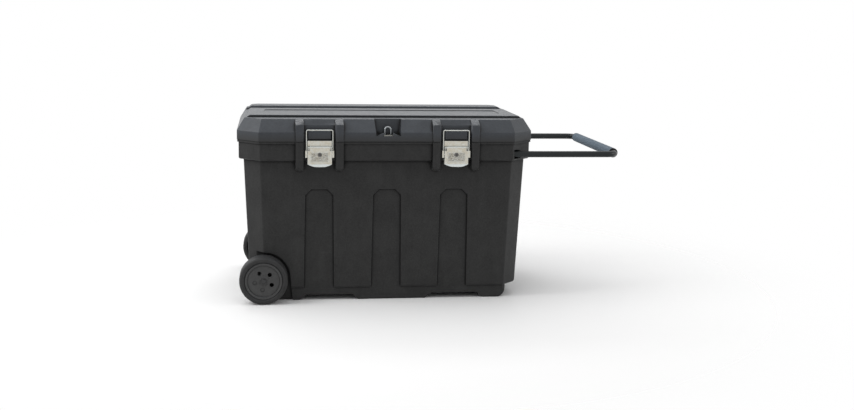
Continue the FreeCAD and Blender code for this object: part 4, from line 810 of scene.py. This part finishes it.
class STORAGE_OT_wheels(bpy.types.Operator):
    """Make the grooved tyres and dress the hubs"""

    bl_idname = "storage_box.wheels"
    bl_label = "Wheels"

    def tyre_profile(self, low, high, settings, bore, outside):
        """The tyre's closed section as (place along Y, radius).

        Up one sidewall, which rises out of its dish by half a cosine wave, round the shoulder, across the
        tread with one clipped cosine dip per groove, round the other shoulder and down the other sidewall.
        """
        shoulder = settings.shoulder
        wall = np.linspace(bore, outside - shoulder, settings.wall_points)
        clear = np.clip((wall - bore) / settings.dish_width, 0, 1)
        dip = settings.dish_depth * (1 + np.cos(math.pi * clear)) / 2
        start = low[1] + shoulder
        end = high[1] - shoulder
        tread = np.linspace(start, end, settings.groove_steps * settings.groove_count + 1)
        wave = -np.cos(FULL_TURN * settings.groove_count * (tread - start) / (end - start))
        groove = np.clip(GROOVE_STEEPNESS * wave - GROOVE_SINK, 0, 1)
        return np.concatenate([
            np.stack([low[1] + dip, wall], axis=1)[:-1],
            arc((start, outside - shoulder), shoulder, 180, 90, settings.shoulder_steps)[:-1],
            np.stack([tread, outside - settings.groove_depth * groove], axis=1)[:-1],
            arc((end, outside - shoulder), shoulder, 90, 0, settings.shoulder_steps)[:-1],
            np.stack([high[1] - dip, wall], axis=1)[::-1],
        ])

    def execute(self, context):
        colours = context.scene.storage_colours
        settings = context.scene.storage_wheels
        rubber = tyre_rubber(colours)
        pale = toned(colours.hub, PALE_HUB)
        hub_skin = plastic("hub plastic", colours.hub, pale, colours, grain=500.0, wear=0.6, dust=0.3)
        for end in ENDS:
            low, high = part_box(f"wheel_tyre_{end}")
            axle, outside = round_axle(low, high)
            bore = round_axle(*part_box(f"wheel_hub_{end}"))[1]
            profile = self.tyre_profile(low, high, settings, bore, outside)
            tyre = revolve(f"tyre_{end}", profile, axle, settings.around, rubber)
            stand_for(tyre, f"wheel_tyre_{end}")
            dress(hub_skin, f"wheel_hub_{end}")
        return {"FINISHED"}


class STORAGE_OT_handle(bpy.types.Operator):
    """Make the ribbed foam grip and dress the tube, its sliders and its guides"""

    bl_idname = "storage_box.handle"
    bl_label = "Pull handle"

    def grip_profile(self, low, high, settings, bore, outside):
        """The grip's closed section as (place along Y, radius): a cosine wave of ribs with rounded ends."""
        round_off = settings.end_round
        start = low[1] + round_off
        end = high[1] - round_off
        ribs = round((end - start) / settings.rib_pitch)
        along = np.linspace(start, end, ribs * settings.rib_steps + 1)
        wave = (1 - np.cos(FULL_TURN * ribs * (along - start) / (end - start))) / 2
        return np.concatenate([
            np.array([[low[1], bore]]),
            arc((start, outside - round_off), round_off, 180, 90, settings.end_steps)[:-1],
            np.stack([along, outside - settings.rib_depth * wave], axis=1)[:-1],
            arc((end, outside - round_off), round_off, 90, 0, settings.end_steps),
            np.array([[high[1], bore]]),
        ])

    def execute(self, context):
        colours = context.scene.storage_colours
        settings = context.scene.storage_grip
        edges = context.scene.storage_edges
        low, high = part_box("handle_grip")
        axle, outside = round_axle(low, high)
        bore = round_axle(*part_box("handle_tube"))[1]
        profile = self.grip_profile(low, high, settings, bore, outside)
        grip = revolve("grip_foam", profile, axle, settings.around, grip_foam(colours, settings))
        stand_for(grip, "handle_grip")
        dress(tube_paint(colours), "handle_tube")
        pale = toned(colours.guide, PALE_GUIDE)
        guide_skin = plastic("guide plastic", colours.guide, pale, colours, grain=900.0, dust=0.1)
        for end in ENDS:
            for part in ("handle_sleeve", "handle_slider", "channel_rail"):
                soft_copy(f"{part}_moulding_{end}", f"{part}_{end}", guide_skin, edges.guide, edges.steps)
        return {"FINISHED"}


class STORAGE_OT_latches(bpy.types.Operator):
    """Dress the draw latches and the padlock's staple: stampings, wire bails, pins, rivets and lock plugs"""

    bl_idname = "storage_box.latches"
    bl_label = "Latches"

    def execute(self, context):
        colours = context.scene.storage_colours
        edges = context.scene.storage_edges
        latch = context.scene.storage_latch
        nickel = plated_steel("nickel plate", colours.nickel, colours.tarnish, colours)
        lever = plated_steel("lever plate", colours.nickel, colours.tarnish, colours, latch=latch)
        plug = plated_steel(
            "plug plate", colours.brass, colours.shade_and_grime, colours, tarnish=0.6, rough=(0.3, 0.5))
        # Darker plate with near-black patches: painted shade for the dark recess that the staple reflects
        staple = plated_steel(
            "staple plate", colours.staple, colours.shade_and_grime, colours, tarnish=0.5, rough=(0.12, 0.26))
        for side in SIDES:
            for part, plate in (("latch_base", nickel), ("latch_lever", lever)):
                soft_copy(f"{part}_stamping_{side}", f"{part}_{side}", plate, edges.steel, edges.steps)
            dress(nickel, f"latch_bail_{side}", f"latch_pin_{side}")
            dress(plug, f"lock_plug_{side}")
        dress(nickel, "latch_rivets", "padlock_plate", "padlock_plate_rivets")
        dress(staple, "padlock_staple")
        return {"FINISHED"}


class STORAGE_OT_fittings(bpy.types.Operator):
    """Dress the zinc-plated axle, caps, washers, hinge pins and screws"""

    bl_idname = "storage_box.fittings"
    bl_label = "Fittings"

    def execute(self, context):
        colours = context.scene.storage_colours
        dull = toned(colours.zinc, DULL_ZINC)
        zinc = plated_steel("zinc plate", colours.zinc, dull, colours, tarnish=0.7, rough=(0.32, 0.55))
        dress(zinc, "axle", "axle_washers", "hinge_pins", "channel_screws")
        dark = toned(colours.zinc, CAP_ZINC)
        cap_zinc = plated_steel("cap zinc", dark, colours.hub, colours, tarnish=0.7, rough=(0.4, 0.6))
        dress(cap_zinc, "axle_caps")
        return {"FINISHED"}


class STORAGE_OT_stage(bpy.types.Operator):
    """Set the pale floor, the soft lamps, the white surround and the camera"""

    bl_idname = "storage_box.stage"
    bl_label = "Stage"

    def floor(self, stage):
        """A pale floor that fades into the white surround."""
        corners = stage.floor_reach * np.array([[-1, -1, 0], [1, -1, 0], [1, 1, 0], [-1, 1, 0]])
        mesh = bpy.data.meshes.new("floor")
        mesh.from_pydata(corners.tolist(), [], [(0, 1, 2, 3)])
        material, shader = start_material("pale floor")
        skin = material.node_tree.nodes["Principled BSDF"]
        shader.feed(skin.inputs["Base Color"], opaque(stage.floor_colour))
        shader.feed(skin.inputs["Roughness"], FLOOR_ROUGHNESS)
        shader.feed(skin.inputs["Specular IOR Level"], 0.0)
        place = shader.surface("Object")
        away = shader.node("ShaderNodeVectorMath", {0: place}, operation="LENGTH").outputs["Value"]
        span = {"Value": away, "From Min": stage.fade_start, "From Max": stage.fade_end}
        fade = shader.node("ShaderNodeMapRange", span, interpolation_type="SMOOTHERSTEP").outputs[0]
        clear = shader.node("ShaderNodeBsdfTransparent").outputs[0]
        blend = shader.node("ShaderNodeMixShader", {0: fade, 1: skin.outputs[0], 2: clear}).outputs[0]
        shader.feed(material.node_tree.nodes["Material Output"].inputs["Surface"], blend)
        new_object("floor", mesh, material)

    def surround(self, scene, stage):
        """White where the camera or a reflection sees it, and a plain ambient light for the rest."""
        scene.world = bpy.data.worlds.new("surround")
        scene.world.use_nodes = True
        shader = Shader(scene.world.node_tree)
        path = shader.node("ShaderNodeLightPath").outputs
        seen = shader.math("MAXIMUM", path["Is Camera Ray"], path["Is Glossy Ray"])
        seen = shader.math("MAXIMUM", seen, path["Is Transmission Ray"])
        strength = shader.ramp(seen, low=0.0, high=1.0, to_low=stage.ambient, to_high=1.0)
        background = scene.world.node_tree.nodes["Background"]
        shader.feed(background.inputs["Color"], (1.0, 1.0, 1.0, 1.0))
        shader.feed(background.inputs["Strength"], strength)

    def lamp(self, scene, name, place, target, size, power):
        """A soft rectangular lamp that looks at a point."""
        light = bpy.data.lights.new(name, "AREA")
        light.shape = "RECTANGLE"
        light.size, light.size_y = size
        light.energy = power
        holder = bpy.data.objects.new(name, light)
        scene.collection.objects.link(holder)
        aim = (Vector(target) - Vector(place)).to_track_quat("-Z", "Y").to_matrix().to_4x4()
        holder.matrix_world = Matrix.Translation(place) @ aim
        holder.visible_camera = False
        return holder

    def camera(self, scene, stage):
        """The photograph's camera from its place and its yaw, pitch and roll."""
        data = bpy.data.cameras.new("camera")
        data.sensor_width = SENSOR_WIDTH
        data.lens = FOCAL_PIXELS * SENSOR_WIDTH / IMAGE_WIDTH
        holder = bpy.data.objects.new("camera", data)
        scene.collection.objects.link(holder)
        yaw = Matrix.Rotation(-stage.camera_yaw, 4, "Z")
        pitch = Matrix.Rotation(math.pi / 2 - stage.camera_pitch, 4, "X")
        roll = Matrix.Rotation(stage.camera_roll, 4, "Z")
        holder.matrix_world = Matrix.Translation(stage.camera_place) @ yaw @ pitch @ roll
        scene.camera = holder

    def execute(self, context):
        scene = context.scene
        stage = scene.storage_stage
        self.floor(stage)
        self.surround(scene, stage)
        holders = {name: self.lamp(scene, name, *lamp, getattr(stage, name)) for name, lamp in LAMPS.items()}
        # Reflections leave out the overhead lamp and show the white surround in its place
        holders["overhead"].visible_glossy = False
        self.camera(scene, stage)
        scene.view_settings.view_transform = "Standard"
        return {"FINISHED"}


class STORAGE_PT_panel(bpy.types.Panel):
    """Lists the settings and the steps"""

    bl_label = "Storage Box"
    bl_idname = "STORAGE_PT_panel"
    bl_space_type = "VIEW_3D"
    bl_region_type = "UI"
    bl_category = "Storage Box"

    def draw(self, context):
        for owner, settings in SETTINGS.items():
            column = self.layout.column(align=True)
            for name in settings.__annotations__:
                column.prop(getattr(context.scene, owner), name)
        for step in STEPS:
            self.layout.operator(step.bl_idname)


SETTINGS = {
    "storage_edges": EdgeSettings,
    "storage_wheels": WheelSettings,
    "storage_grip": GripSettings,
    "storage_latch": LatchSettings,
    "storage_colours": ColourSettings,
    "storage_stage": StageSettings,
}
STEPS = (
    STORAGE_OT_tub,
    STORAGE_OT_lid,
    STORAGE_OT_tray,
    STORAGE_OT_wheels,
    STORAGE_OT_handle,
    STORAGE_OT_latches,
    STORAGE_OT_fittings,
    STORAGE_OT_stage,
)
CLASSES = (*SETTINGS.values(), *STEPS, STORAGE_PT_panel)


def register():
    for made in CLASSES:
        bpy.utils.register_class(made)
    for owner, settings in SETTINGS.items():
        setattr(bpy.types.Scene, owner, PointerProperty(type=settings))


def unregister():
    for owner in SETTINGS:
        delattr(bpy.types.Scene, owner)
    for made in reversed(CLASSES):
        bpy.utils.unregister_class(made)


def plain(box):
    """Two corners as plain lists of numbers."""
    return [[float(part) for part in corner] for corner in box]


def main():
    """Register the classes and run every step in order."""
    register()
    for step in STEPS:
        category, name = step.bl_idname.split(".")
        getattr(getattr(bpy.ops, category), name)()


if __name__ == "__main__":
    main()
